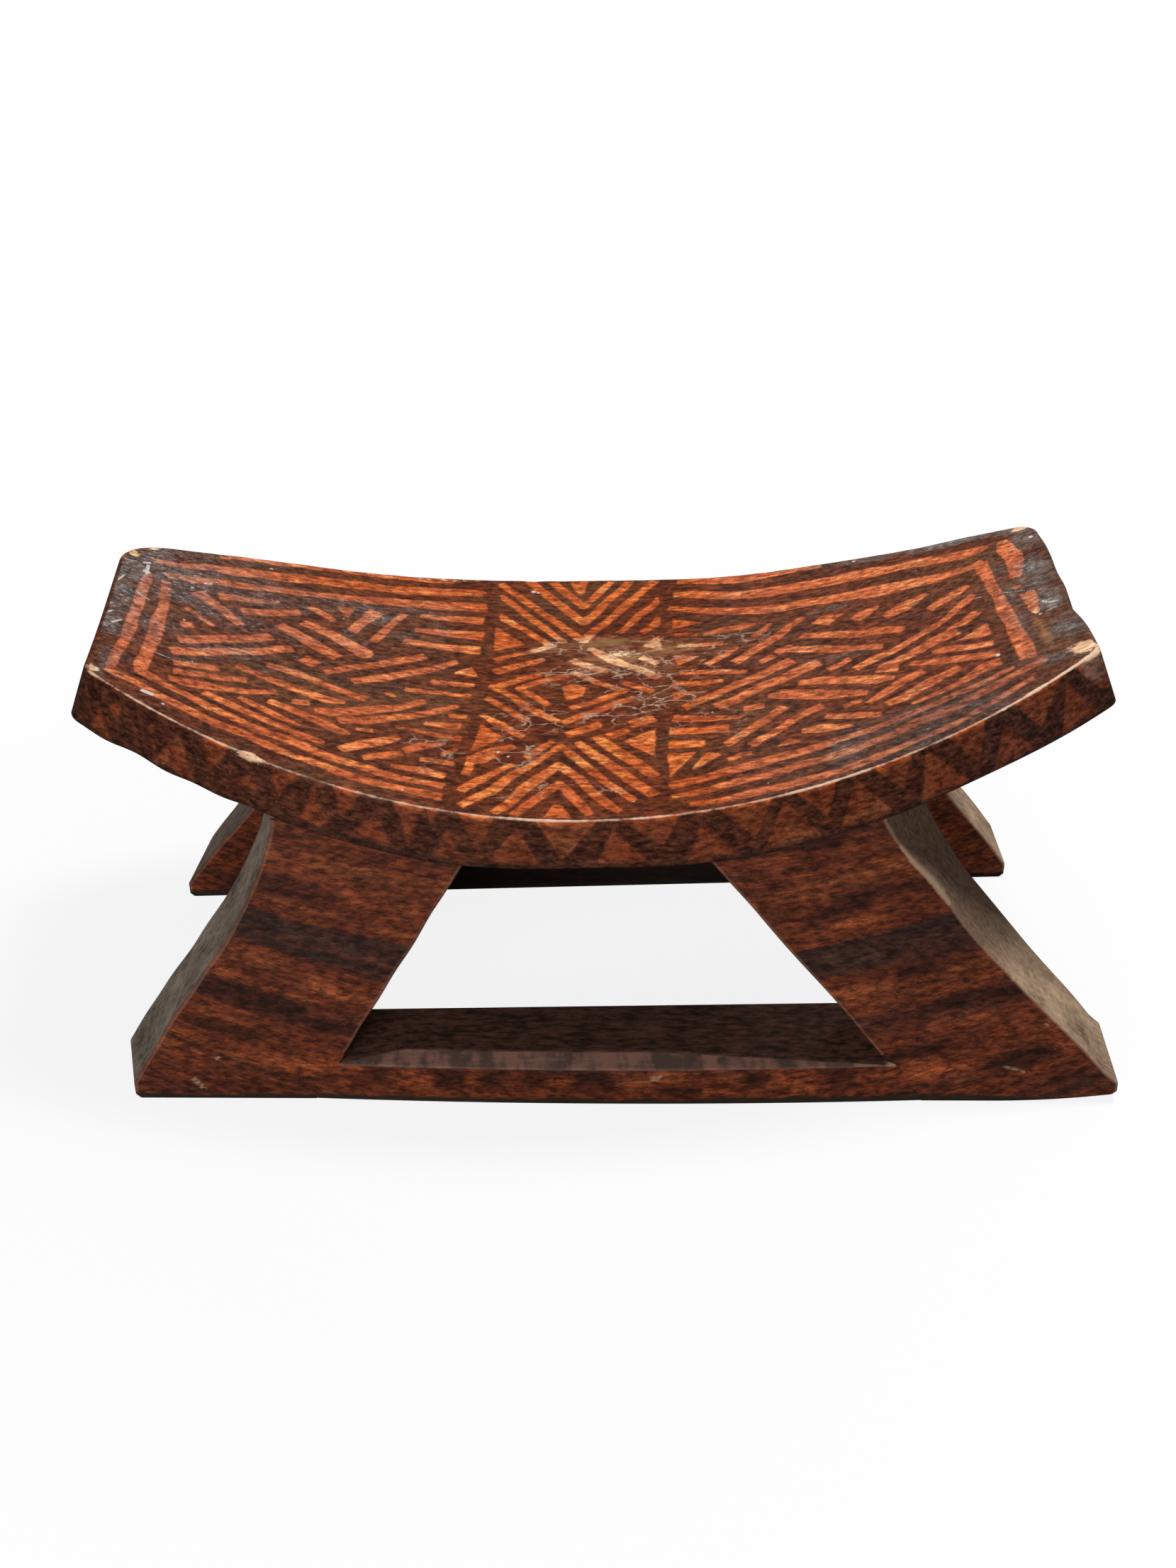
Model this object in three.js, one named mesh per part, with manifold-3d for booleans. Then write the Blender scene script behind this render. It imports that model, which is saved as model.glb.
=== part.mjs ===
// A low carved stool in the Ashanti manner: a dished seat on four splayed legs, with a flat
// runner under each pair of legs. The real one is cut from a single block, so its legs grow
// out of the seat and the runners without a joint. Here each limb is a solid of its own.
// Sizes are in millimetres. X runs along the seat, Y from the front to the back, Z up.
import * as THREE from 'three';
import { mergeVertices } from 'three/addons/utils/BufferGeometryUtils.js';
import Module from 'manifold-3d';

// Seat: a curved slab of even length, lowest in the middle, with long edges that bow outwards
const seatLength = 400;
const seatDish = 41.5;
const seatMiddleHeight = 145;
const seatMiddleDepth = 213;
const frontEdgeBow = 52;
const backEdgeBow = 39;
const seatMiddleThickness = 23.5;
const leftEndThickness = 28;
const rightEndThickness = 31;
const seatTilt = 0.012;
const leftEndSkew = 11;
const rightEndSkew = 2;
const seatEdgeEase = 1.2;
const seatSteps = 40;

// Base: two frames, each of two legs and a runner, with a gap between them from end to end.
// Their feet stand in from the widest place of the seat.
const baseInset = 8;
const runnerHeight = 22;
const runnerFrontHeight = 18;
const bevelDepth = 7;
const bevelEndDepth = 0.5;
const bevelRiseShare = 0.12;
const bevelFallShare = 0.4;
const runnerBow = 3;
const runnerSteps = 12;
const toeHeight = 7;
const legHollow = 6.5;
const legEdgeEase = 1.5;
const legSteps = 10;
const jointGap = 0.3;
const cutOverrun = 20;

// The frames are hand cut and stand a little askew: each face's spread is the slope by which
// it moves away from the middle plane towards the right end.
const frontFrame = { row: -1, thickness: 35, outerSpread: 0.015, innerSpread: -0.01 };
const backFrame = { row: 1, thickness: 41, outerSpread: 0.015, innerSpread: 0.03 };

// No two legs are alike. Reaches are from the middle of the seat to the outer edge, and a
// twist is how much further out that edge lies on the inner side of the frame.
const frontLeftLeg = {
  frame: frontFrame,
  side: -1,
  footReach: 192,
  topReach: 122,
  footWidth: 76.5,
  topWidth: 85,
  footTwist: 8.5,
  topTwist: 5,
};
const frontRightLeg = {
  frame: frontFrame,
  side: 1,
  footReach: 221,
  topReach: 115,
  footWidth: 81.5,
  topWidth: 82,
  footTwist: 2,
  topTwist: 18,
};
const backLeftLeg = {
  frame: backFrame,
  side: -1,
  footReach: 194.5,
  topReach: 106,
  footWidth: 77.5,
  topWidth: 70,
  footTwist: 4,
  topTwist: -1,
};
const backRightLeg = {
  frame: backFrame,
  side: 1,
  footReach: 208.5,
  topReach: 118,
  footWidth: 74,
  topWidth: 76,
  footTwist: 0,
  topTwist: 2,
};

const seatWood = { color: 0x8f3f1a, roughness: 0.5, metalness: 0 };
const legWood = { color: 0x6f3a20, roughness: 0.55, metalness: 0 };
const runnerWood = { color: 0x55291a, roughness: 0.6, metalness: 0 };

const wasm = await Module();
wasm.setup();

// Radius of the arc that rises by height over half of its chord
function arcRadius(halfChord, height) {
  return (halfChord * halfChord + height * height) / (2 * height);
}

const seatReach = seatLength / 2;
const dishRadius = arcRadius(seatReach, seatDish);
const dishAngle = Math.asin(seatReach / dishRadius);
const dishCentreHeight = seatMiddleHeight + dishRadius;
const seatEndDepth = seatMiddleDepth - frontEdgeBow - backEdgeBow;

// How far the seat's front or back edge (row -1 or 1) lies from its middle plane at a distance
// along it: an arc, widest in the middle
function seatHalfDepth(row, along) {
  const radius = arcRadius(seatReach, row < 0 ? frontEdgeBow : backEdgeBow);
  const drop = radius - Math.sqrt(radius * radius - along * along);
  return seatMiddleDepth / 2 - drop;
}

// Thickness of the slab, square to its curve, at a share of the way from the middle to an end
function seatThickness(share) {
  const endThickness = share < 0 ? leftEndThickness : rightEndThickness;
  return seatMiddleThickness + (endThickness - seatMiddleThickness) * share * share;
}

// Point of the untilted seat at a share along the dish, a depth below its top and a place in Y
function seatPoint(share, below, y) {
  const angle = share * dishAngle;
  const radius = dishRadius + below;
  const skew = share < 0 ? leftEndSkew : rightEndSkew;
  const slant = (skew * share * y) / seatEndDepth;
  const x = radius * Math.sin(angle) + slant;
  return new THREE.Vector3(x, y, dishCentreHeight - radius * Math.cos(angle));
}

// Closed solid through a row of sections that have as many points each, with flat ends
function loft(sections) {
  const points = sections.flat();
  const size = sections[0].length;
  const faces = [];
  for (let row = 0; row + 1 < sections.length; row += 1) {
    for (let place = 0; place < size; place += 1) {
      const next = (place + 1) % size;
      const a = row * size + place;
      const b = row * size + next;
      faces.push(a, b, b + size, a, b + size, a + size);
    }
  }
  const last = points.length - size;
  for (let place = 1; place + 1 < size; place += 1) {
    faces.push(0, place + 1, place);
    faces.push(last, last + place, last + place + 1);
  }
  const geometry = new THREE.BufferGeometry().setFromPoints(points);
  geometry.setIndex(faces);
  return facingOut(geometry);
}

// Turns every triangle round where a closed mesh encloses a negative volume
function facingOut(geometry) {
  const index = geometry.index.array;
  const place = geometry.attributes.position;
  const [a, b, c] = [new THREE.Vector3(), new THREE.Vector3(), new THREE.Vector3()];
  let volume = 0;
  for (let i = 0; i < index.length; i += 3) {
    a.fromBufferAttribute(place, index[i]);
    b.fromBufferAttribute(place, index[i + 1]);
    c.fromBufferAttribute(place, index[i + 2]);
    volume += a.dot(b.cross(c));
  }
  if (volume < 0) {
    for (let i = 0; i < index.length; i += 3) {
      [index[i + 1], index[i + 2]] = [index[i + 2], index[i + 1]];
    }
  }
  return geometry;
}

function toSolid(geometry) {
  const bare = geometry.clone();
  bare.deleteAttribute('normal');
  bare.deleteAttribute('uv');
  const merged = mergeVertices(bare);
  const vertProperties = Float32Array.from(merged.attributes.position.array);
  const triVerts = Uint32Array.from(merged.index.array);
  return new wasm.Manifold(new wasm.Mesh({ numProp: 3, vertProperties, triVerts }));
}

function toGeometry(solid) {
  const mesh = solid.getMesh();
  const geometry = new THREE.BufferGeometry();
  geometry.setAttribute('position', new THREE.BufferAttribute(mesh.vertProperties, 3));
  geometry.setIndex(new THREE.BufferAttribute(mesh.triVerts, 1));
  return geometry;
}

// Evenly spaced shares from one value to another, both ends included
function shares(from, to, steps) {
  return Array.from({ length: steps + 1 }, (_, step) => from + ((to - from) * step) / steps);
}

// Section of the seat across its length, with its four long edges eased
function seatSection(share) {
  const thickness = seatThickness(share);
  const angle = share * dishAngle;
  const edge = (row) => {
    const top = seatHalfDepth(row, dishRadius * Math.sin(angle));
    const bottom = seatHalfDepth(row, (dishRadius + thickness) * Math.sin(angle));
    const outline = [
      [0, top - seatEdgeEase],
      [seatEdgeEase, top],
      [thickness - seatEdgeEase, bottom],
      [thickness, bottom - seatEdgeEase],
    ];
    return outline.map(([below, y]) => seatPoint(share, below, row * y));
  };
  return [...edge(-1), ...edge(1).reverse()];
}

// Everything above the seat's underside, less a small gap, which the legs are cut away from
function seatSpaceSection(share) {
  const below = seatThickness(share) + jointGap;
  const ceiling = -(seatDish + cutOverrun);
  const wide = seatMiddleDepth / 2 + cutOverrun;
  const corners = [[below, -wide], [below, wide], [ceiling, wide], [ceiling, -wide]];
  return corners.map(([depth, y]) => seatPoint(share, depth, y));
}

// The seat leans down to the left, turned about the middle of its top
const tilt = new THREE.Matrix4().makeRotationY(-seatTilt);
const seatPivot = new THREE.Vector3(0, 0, seatMiddleHeight);
tilt.setPosition(seatPivot.clone().sub(seatPivot.clone().applyMatrix4(tilt)));
const seatSpace = toSolid(loft(shares(-1, 1, seatSteps).map(seatSpaceSection)).applyMatrix4(tilt));

// Height of the seat's underside above the floor at a place along it, with its tilt
function undersideHeight(along) {
  const share = Math.asin(along / (dishRadius + seatMiddleThickness)) / dishAngle;
  const below = seatThickness(share);
  return seatPoint(share, below, 0).applyMatrix4(tilt).z;
}

// How far the faces of a frame lie from the middle plane. The outer face leans in, to come
// flush with the seat's edge where the outer edge of the frame's left leg meets the seat.
const footDepth = seatMiddleDepth / 2 - baseInset;
frontFrame.topReach = frontLeftLeg.topReach;
backFrame.topReach = backLeftLeg.topReach;
function frameOuterY(frame, x, z) {
  const foot = footDepth + frame.outerSpread * x;
  const top = seatHalfDepth(frame.row, frame.topReach);
  return foot + ((top - foot) * z) / undersideHeight(-frame.topReach);
}
function frameInnerY(frame, x) {
  return footDepth - frame.thickness + frame.innerSpread * x;
}

// Distance of a leg's outer and inner edge from the middle of the stool at a height. The outer
// edge stands upright over the toe, and is hollow, most of all two thirds of the way up.
function legEdges(leg, z) {
  const rise = undersideHeight(leg.side * leg.topReach);
  const share = Math.max(z - toeHeight, 0) / (rise - toeHeight);
  const hollow = (27 / 4) * legHollow * share * share * (1 - share);
  const outer = leg.footReach + (leg.topReach - leg.footReach) * share - hollow;
  const footInner = leg.footReach - leg.footWidth;
  const topInner = leg.topReach - leg.topWidth;
  const inner = footInner + ((topInner - footInner) * z) / rise;
  const twist = leg.footTwist + (leg.topTwist - leg.footTwist) * share;
  return { outer, inner, twist };
}

// Level section of a leg, its corners cut back by an ease of their own
function legSection(leg, z) {
  const { outer, inner, twist } = legEdges(leg, z);
  const toeEase = z < legEdgeEase ? legEdgeEase - z : 0;
  const innerEase = THREE.MathUtils.clamp(z - runnerHeight, 0, legEdgeEase);
  const outerFace = (reach) => frameOuterY(leg.frame, leg.side * reach, z);
  const innerFace = (reach) => frameInnerY(leg.frame, leg.side * reach);
  const toe = outer - toeEase;
  const corners = [
    [toe, outerFace(toe), legEdgeEase],
    [toe + twist, innerFace(toe + twist), legEdgeEase],
    [inner, innerFace(inner), innerEase],
    [inner, outerFace(inner), innerEase],
  ];
  const points = [];
  corners.forEach(([x, y, ease], place) => {
    const corner = new THREE.Vector2(x, y);
    const before = corners[(place + 3) % 4];
    const after = corners[(place + 1) % 4];
    for (const [nearX, nearY] of [before, after]) {
      const step = new THREE.Vector2(nearX, nearY).sub(corner).setLength(ease);
      const eased = corner.clone().add(step);
      points.push(new THREE.Vector3(leg.side * eased.x, leg.frame.row * eased.y, z));
    }
  });
  return points;
}

// A leg runs from the floor up into the space of the seat, and is cut off at its underside
function legGeometry(leg) {
  const top = undersideHeight(leg.side * leg.topReach) + cutOverrun;
  const low = [0, legEdgeEase, toeHeight, runnerHeight];
  const heights = [...low, ...shares(runnerHeight + legEdgeEase, top, legSteps)];
  const blank = toSolid(loft(heights.map((z) => legSection(leg, z))));
  return toGeometry(blank.subtract(seatSpace));
}

// Section of a runner at a share of its length between the legs: a bar whose outer face bows
// out a little in the middle. Its top slopes down to the outer face beside the legs, and is
// level between them, where a bevel is cut along it that tapers out at both ends.
function runnerSection(leftLeg, rightLeg, share) {
  const { frame } = leftLeg;
  const bow = 4 * runnerBow * share * (1 - share);
  const cut = Math.min(1, share / bevelRiseShare, (1 - share) / bevelFallShare);
  const depth = THREE.MathUtils.lerp(bevelEndDepth, bevelDepth, cut);
  const bevelTop = THREE.MathUtils.lerp(runnerFrontHeight, runnerHeight, cut);
  const outer = (x, z) => frameOuterY(frame, x, z) + bow;
  const inner = (x) => frameInnerY(frame, x);
  const outline = [
    [inner, 0],
    [outer, 0],
    [outer, runnerFrontHeight],
    [(x) => outer(x, runnerFrontHeight) - depth, bevelTop],
    [inner, runnerHeight],
  ];
  return outline.map(([faceY, z]) => {
    const left = jointGap - legEdges(leftLeg, z).inner;
    const right = legEdges(rightLeg, z).inner - jointGap;
    const x = THREE.MathUtils.lerp(left, right, share);
    return new THREE.Vector3(x, frame.row * faceY(x, z), z);
  });
}

function runnerGeometry(leftLeg, rightLeg) {
  const places = shares(0, 1, runnerSteps);
  return loft(places.map((share) => runnerSection(leftLeg, rightLeg, share)));
}

function piece(name, geometry, finish) {
  const mesh = new THREE.Mesh(geometry, new THREE.MeshStandardMaterial(finish));
  mesh.name = name;
  return mesh;
}

const seat = piece('seat', loft(shares(-1, 1, seatSteps).map(seatSection)), seatWood);
seat.applyMatrix4(tilt);

const stool = new THREE.Group();
stool.add(seat);
stool.add(piece('front_left_leg', legGeometry(frontLeftLeg), legWood));
stool.add(piece('front_right_leg', legGeometry(frontRightLeg), legWood));
stool.add(piece('back_left_leg', legGeometry(backLeftLeg), legWood));
stool.add(piece('back_right_leg', legGeometry(backRightLeg), legWood));
stool.add(piece('front_runner', runnerGeometry(frontLeftLeg, frontRightLeg), runnerWood));
stool.add(piece('back_runner', runnerGeometry(backLeftLeg, backRightLeg), runnerWood));

// The origin goes to the middle of the whole stool's outline on the floor
stool.updateMatrixWorld(true);
const middle = new THREE.Box3().setFromObject(stool, true).getCenter(new THREE.Vector3());
stool.position.set(-middle.x, -middle.y, 0);

export default stool;
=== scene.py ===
import math

import bpy
import numpy as np
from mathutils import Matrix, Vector


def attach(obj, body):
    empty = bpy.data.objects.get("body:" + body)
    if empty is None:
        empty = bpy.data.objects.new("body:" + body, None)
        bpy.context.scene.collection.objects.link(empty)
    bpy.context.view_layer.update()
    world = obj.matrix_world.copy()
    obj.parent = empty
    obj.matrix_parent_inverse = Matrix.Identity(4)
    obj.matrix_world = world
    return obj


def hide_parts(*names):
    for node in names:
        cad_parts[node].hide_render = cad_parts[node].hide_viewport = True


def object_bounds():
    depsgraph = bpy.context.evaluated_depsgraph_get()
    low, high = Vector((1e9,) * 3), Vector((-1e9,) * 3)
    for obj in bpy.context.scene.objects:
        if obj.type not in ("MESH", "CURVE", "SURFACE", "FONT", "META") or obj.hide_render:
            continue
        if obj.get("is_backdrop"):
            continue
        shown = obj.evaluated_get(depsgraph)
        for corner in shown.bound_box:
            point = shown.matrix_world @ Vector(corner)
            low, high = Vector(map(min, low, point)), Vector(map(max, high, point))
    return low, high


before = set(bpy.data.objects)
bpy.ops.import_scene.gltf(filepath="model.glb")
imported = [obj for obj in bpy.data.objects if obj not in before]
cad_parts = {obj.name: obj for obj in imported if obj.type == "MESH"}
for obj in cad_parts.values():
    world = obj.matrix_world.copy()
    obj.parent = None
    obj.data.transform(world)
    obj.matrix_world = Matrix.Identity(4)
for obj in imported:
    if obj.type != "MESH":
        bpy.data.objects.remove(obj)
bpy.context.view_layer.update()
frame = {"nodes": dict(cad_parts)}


# The seat

# A slab cut from the same block as the rest, dished along its length, wider in the middle than
# at its ends and thicker at the ends. Its top and its front edge are drawn over with a hot iron:
# what the iron left alone shows as light strips and triangles.

# Sizes in mm. Of a pair, -1 is the left end or the front edge and 1 the right end or the back
# edge. The lean, in radians, lifts the right end.
half_length = 200.0
dish = 41.5
middle_height = 145.0
middle_depth = 213.0
end_depth = 122.0
bow = {-1: 52.0, 1: 39.0}
middle_thickness = 23.5
end_thickness = {-1: 28.0, 1: 31.0}
end_slant = {-1: 11.0, 1: 2.0}
front_corners, back_corners = (4.0, 2.5), (17.0, 8.0)
lower_arris = 0.8
lean = 0.012
middle_shift = -3.027
dish_radius = (half_length ** 2 + dish ** 2) / (2 * dish)
half_arc = dish_radius * math.asin(half_length / dish_radius)


def hump(value, middle, width):
    """A smooth bump that is 1 at the middle and falls off over the width."""
    return np.exp(-(((value - middle) / width) ** 2))


def ramp(value, start, stop):
    """0 up to the start, 1 from the stop on and straight between them."""
    return np.clip((value - start) / (stop - start), 0, 1)


def seat_thickness(s):
    """Thickness of the slab in mm, s mm along its top from the middle: it grows with the square
    of s to another value at each end."""
    at_end = np.where(s < 0, end_thickness[-1], end_thickness[1])
    return middle_thickness + (at_end - middle_thickness) * (s / half_arc) ** 2


def carved_thickness(s):
    """Thickness where the lower arris was worked by hand: thinner in the middle and beyond the
    legs, fuller over the legs, and rippled near the left end."""
    over_legs, beyond = hump(np.abs(s), 62, 20), hump(np.abs(s), 150, 30)
    ripple = (0.55 * np.sin(s / 3.9) + 0.6 * np.sin(s / 8.3 + 1)) * hump(s, -175, 60)
    return seat_thickness(s) + 0.8 * over_legs - 1.7 * hump(s, 0, 28) - 1.5 * beyond + ripple


def seat_half_depth(row, along):
    """How far the front (row -1) or back (row 1) edge lies from the middle plane: half of the
    depth, less the drop of an arc that falls by the row's bow at the seat's ends."""
    radius = (half_length ** 2 + bow[row] ** 2) / (2 * bow[row])
    return middle_depth / 2 - radius + np.sqrt(radius ** 2 - along ** 2)


def seat_point(s, below, y):
    """Place in mm of a point s along the top, below it and y deep: on a circle about a level
    axis above the seat, slanted towards the ends, then leaned about the middle of the top."""
    angle = s / dish_radius
    slant = np.where(s < 0, end_slant[-1], end_slant[1])
    x = (dish_radius + below) * np.sin(angle) + slant * (s / half_arc) * y / end_depth
    z = dish_radius - (dish_radius + below) * np.cos(angle)
    turned_x = x * math.cos(lean) - z * math.sin(lean)
    turned_z = x * math.sin(lean) + z * math.cos(lean)
    return np.stack([turned_x + middle_shift, y + 0 * x, turned_z + middle_height], axis=-1)


def rounding(s, corners):
    """How far the plan corners pull the edge in at s: a quarter circle at the left and the right
    end, each with its radius."""
    pulled = 0 * s
    for gone, radius in zip((half_arc + s, half_arc - s), corners):
        into = np.clip(radius - gone, 0, radius)
        pulled = pulled + radius - np.sqrt(radius ** 2 - into ** 2)
    return pulled


def seat_edge(row, s, below):
    """Depth y of the front or back edge at s and below: the arc of that edge, less its rounded
    corners. The back edge is fuller towards both ends and flatter right of the middle."""
    along = (dish_radius + below) * np.sin(s / dish_radius)
    if row < 0:
        return -(seat_half_depth(row, along) - rounding(s, front_corners))
    fuller = 4.0 * hump(s, -145, 42) - 3.6 * hump(s, 68, 42) + 2.4 * hump(s, 180, 26)
    return seat_half_depth(row, along) + fuller - rounding(s, back_corners)


def end_wave(s, y):
    """How far in mm the hand-cut ends stray from straight, fading out 40 mm from each end."""
    left = ramp(-s, half_arc - 40, half_arc) ** 2
    right = ramp(s, half_arc - 40, half_arc) ** 2
    wave_left = 0.9 * hump(y, -20, 60)
    wave_right = -2.4 * hump(y, -12, 13) - 1.0 * hump(y, 18, 14) - 0.8 * hump(y, 62, 10)
    return left * wave_left + right * wave_right


def arris_radius(s, row):
    """Radius of the upper arris in a row: 1.1 mm, more where it is chipped or worn round, and
    never quite even."""
    front = 2.6 * hump(s, -134.5, 4.2) + 1.2 * hump(s, -204, 5) + 0.7 * hump(s, 203, 7)
    back = 0.9 * hump(s, 160, 30) + 1.2 * hump(s, -196, 12) + 0.8 * hump(s, -24, 4)
    return 1.1 + (front if row < 0 else back) + 0.2 * np.sin(s / 3.1 + 90 * row) * np.sin(s / 7.7)


# The grid of the top: columns along s, closer together where the plan corners turn, and rows as
# shares of the way from the front edge to the back edge
grid_step = 1.12
turns = np.radians(np.arange(90, -1, -3.75))
left_columns = -half_arc + back_corners[0] * (1 - np.sin(turns))
right_columns = half_arc - back_corners[1] * (1 - np.sin(turns[::2]))
between = np.arange(left_columns[-1] + grid_step, right_columns[-1] - grid_step / 2, grid_step)
columns = np.concatenate([left_columns, between, right_columns[::-1]])
rows = np.linspace(0, 1, 181)
count, depth = len(columns), len(rows)


def edge_line(row, inset, below):
    """Where the edge of a row runs over the columns, at a depth below and moved inwards by the
    inset: along the normal of the edge in plan, which at both ends points along the seat."""
    y = seat_edge(row, columns, below)
    step_s, step_y = np.gradient(columns), np.gradient(y)
    length = np.hypot(step_s, step_y)
    inward_s, inward_y = row * step_y / length, -row * step_s / length
    inward_s[[0, -1]], inward_y[[0, -1]] = (1, -1), 0
    return np.stack([columns + inset * inward_s, y + inset * inward_y, below + 0 * y], axis=-1)


def across(front, back, shares):
    """Points between a front and a back line, at shares of the way: columns by rows."""
    return front[:, None] + (back - front)[:, None] * shares[None, :, None]


def ring(upper_share, face_share, lower_share):
    """One closed line round the slab, seen from above against the clock. The shares run over
    the quarter circle of the upper arris, down the edge face, and over the quarter circle of
    the lower arris, one after the other."""
    lines = []
    upper_turn, lower_turn = upper_share * math.pi / 2, lower_share * math.pi / 2
    for row in (-1, 1):
        radius = arris_radius(columns, row)
        upper = radius * (1 - math.cos(upper_turn))
        lower = carved_thickness(columns) - lower_arris * (1 - math.sin(lower_turn))
        inset = radius * (1 - math.sin(upper_turn)) + lower_arris * (1 - math.cos(lower_turn))
        lines.append(edge_line(row, inset, upper + (lower - upper) * face_share))
    front, back = lines
    right = front[-1] + (back[-1] - front[-1]) * rows[1:-1, None]
    left = back[0] + (front[0] - back[0]) * rows[1:-1, None]
    return np.concatenate([front, right, back[::-1], left])


def sides_of(line):
    """The front and the back stretch of a ring, both from left to right."""
    back_start = count + depth - 2
    return line[:count], line[back_start:back_start + count][::-1]


ring_places = [(0, 0, 0), (0.33, 0, 0), (0.67, 0, 0)]
ring_places += [(1, share, 0) for share in np.linspace(0, 1, 16)]
ring_places += [(1, 1, 0.5), (1, 1, 1)]
rings = np.stack([ring(*shares) for shares in ring_places])
ring_length = rings.shape[1]
front_line, back_line = sides_of(rings[0])
top_points = across(front_line, back_line, rows)
under_rows = np.linspace(0, 1, 11)
under_points = across(*sides_of(rings[-1]), under_rows)[1:-1, 1:-1]

# Vertex numbers in the same layouts: the top, the rings below its border, the underside
top_index = np.arange(count * depth).reshape(count, depth)
border = [top_index[:, 0], top_index[-1, 1:-1], top_index[::-1, -1], top_index[0, -2:0:-1]]
ring_index = np.arange((len(rings) - 1) * ring_length).reshape(-1, ring_length) + count * depth
ring_index = np.vstack([np.concatenate(border), ring_index])
last_ring = ring_index[-1]
under_index = np.arange((count - 2) * (len(under_rows) - 2)).reshape(count - 2, -1)
under_front, under_back = sides_of(last_ring)
under_index = np.hstack([under_front[1:-1, None], under_index + last_ring.max() + 1,
                         under_back[1:-1, None]])


def quads_of(grid):
    """Faces of a grid of vertex numbers, its first side running to the right of its second."""
    corners = [grid[:-1, :-1], grid[1:, :-1], grid[1:, 1:], grid[:-1, 1:]]
    return np.stack(corners, axis=-1).reshape(-1, 4)


def strip_between(fine, few):
    """Triangles that join a line of many points to a line of few, whose ends lie side by side:
    each fine edge goes to the nearest coarse point, and each coarse edge to the fine point
    where that changes."""
    share = (np.arange(len(fine) - 1) + 0.5) / (len(fine) - 1) * (len(few) - 1)
    nearest = np.rint(share).astype(int)
    fans = np.stack([fine[:-1], fine[1:], few[nearest]], axis=-1)
    change = np.searchsorted(nearest, np.arange(1, len(few)))
    fills = np.stack([fine[change], few[1:], few[:-1]], axis=-1)
    return np.concatenate([fans, fills])


seat_quads = np.concatenate([
    quads_of(top_index),
    quads_of(np.hstack([ring_index, ring_index[:, :1]]).T[:, ::-1]),
    quads_of(under_index)[:, ::-1],
])
left_end = last_ring[2 * count + depth - 2:]
right_end = last_ring[count:count + depth - 2]
left_fine = np.concatenate([[under_back[0]], left_end, [under_front[0]]])[::-1]
right_fine = np.concatenate([[under_front[-1]], right_end, [under_back[-1]]])
seat_triangles = np.concatenate([
    strip_between(left_fine, under_index[0]),
    strip_between(right_fine, under_index[-1])[:, ::-1],
])

seat_laid = np.concatenate([top_points.reshape(-1, 3), rings[1:].reshape(-1, 3),
                            under_points.reshape(-1, 3)])
s, y, below = seat_laid.T
seat_places = seat_point(s + end_wave(s, y), below, y)


def make_piece(name, places, quads, triangles, **values):
    """A smooth mesh object from places in mm, faces of four and three vertex numbers, and a
    number per vertex for each named value."""
    mesh = bpy.data.meshes.new(name)
    corners = np.concatenate([quads.ravel(), triangles.ravel()]).astype(np.int32)
    sizes = np.concatenate([np.full(len(quads), 4), np.full(len(triangles), 3)])
    starts = np.concatenate([[0], np.cumsum(sizes)[:-1]]).astype(np.int32)
    mesh.vertices.add(len(places))
    mesh.vertices.foreach_set("co", (places * 0.001).astype(np.float32).ravel())
    mesh.loops.add(len(corners))
    mesh.loops.foreach_set("vertex_index", corners)
    mesh.polygons.add(len(sizes))
    mesh.polygons.foreach_set("loop_start", starts)
    for key, value in values.items():
        layer = mesh.attributes.new(key, "FLOAT", "POINT")
        layer.data.foreach_set("value", value.astype(np.float32))
    mesh.update()
    mesh.validate()
    mesh.shade_smooth()
    made = bpy.data.objects.new(name, mesh)
    bpy.context.scene.collection.objects.link(made)
    return made


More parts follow.
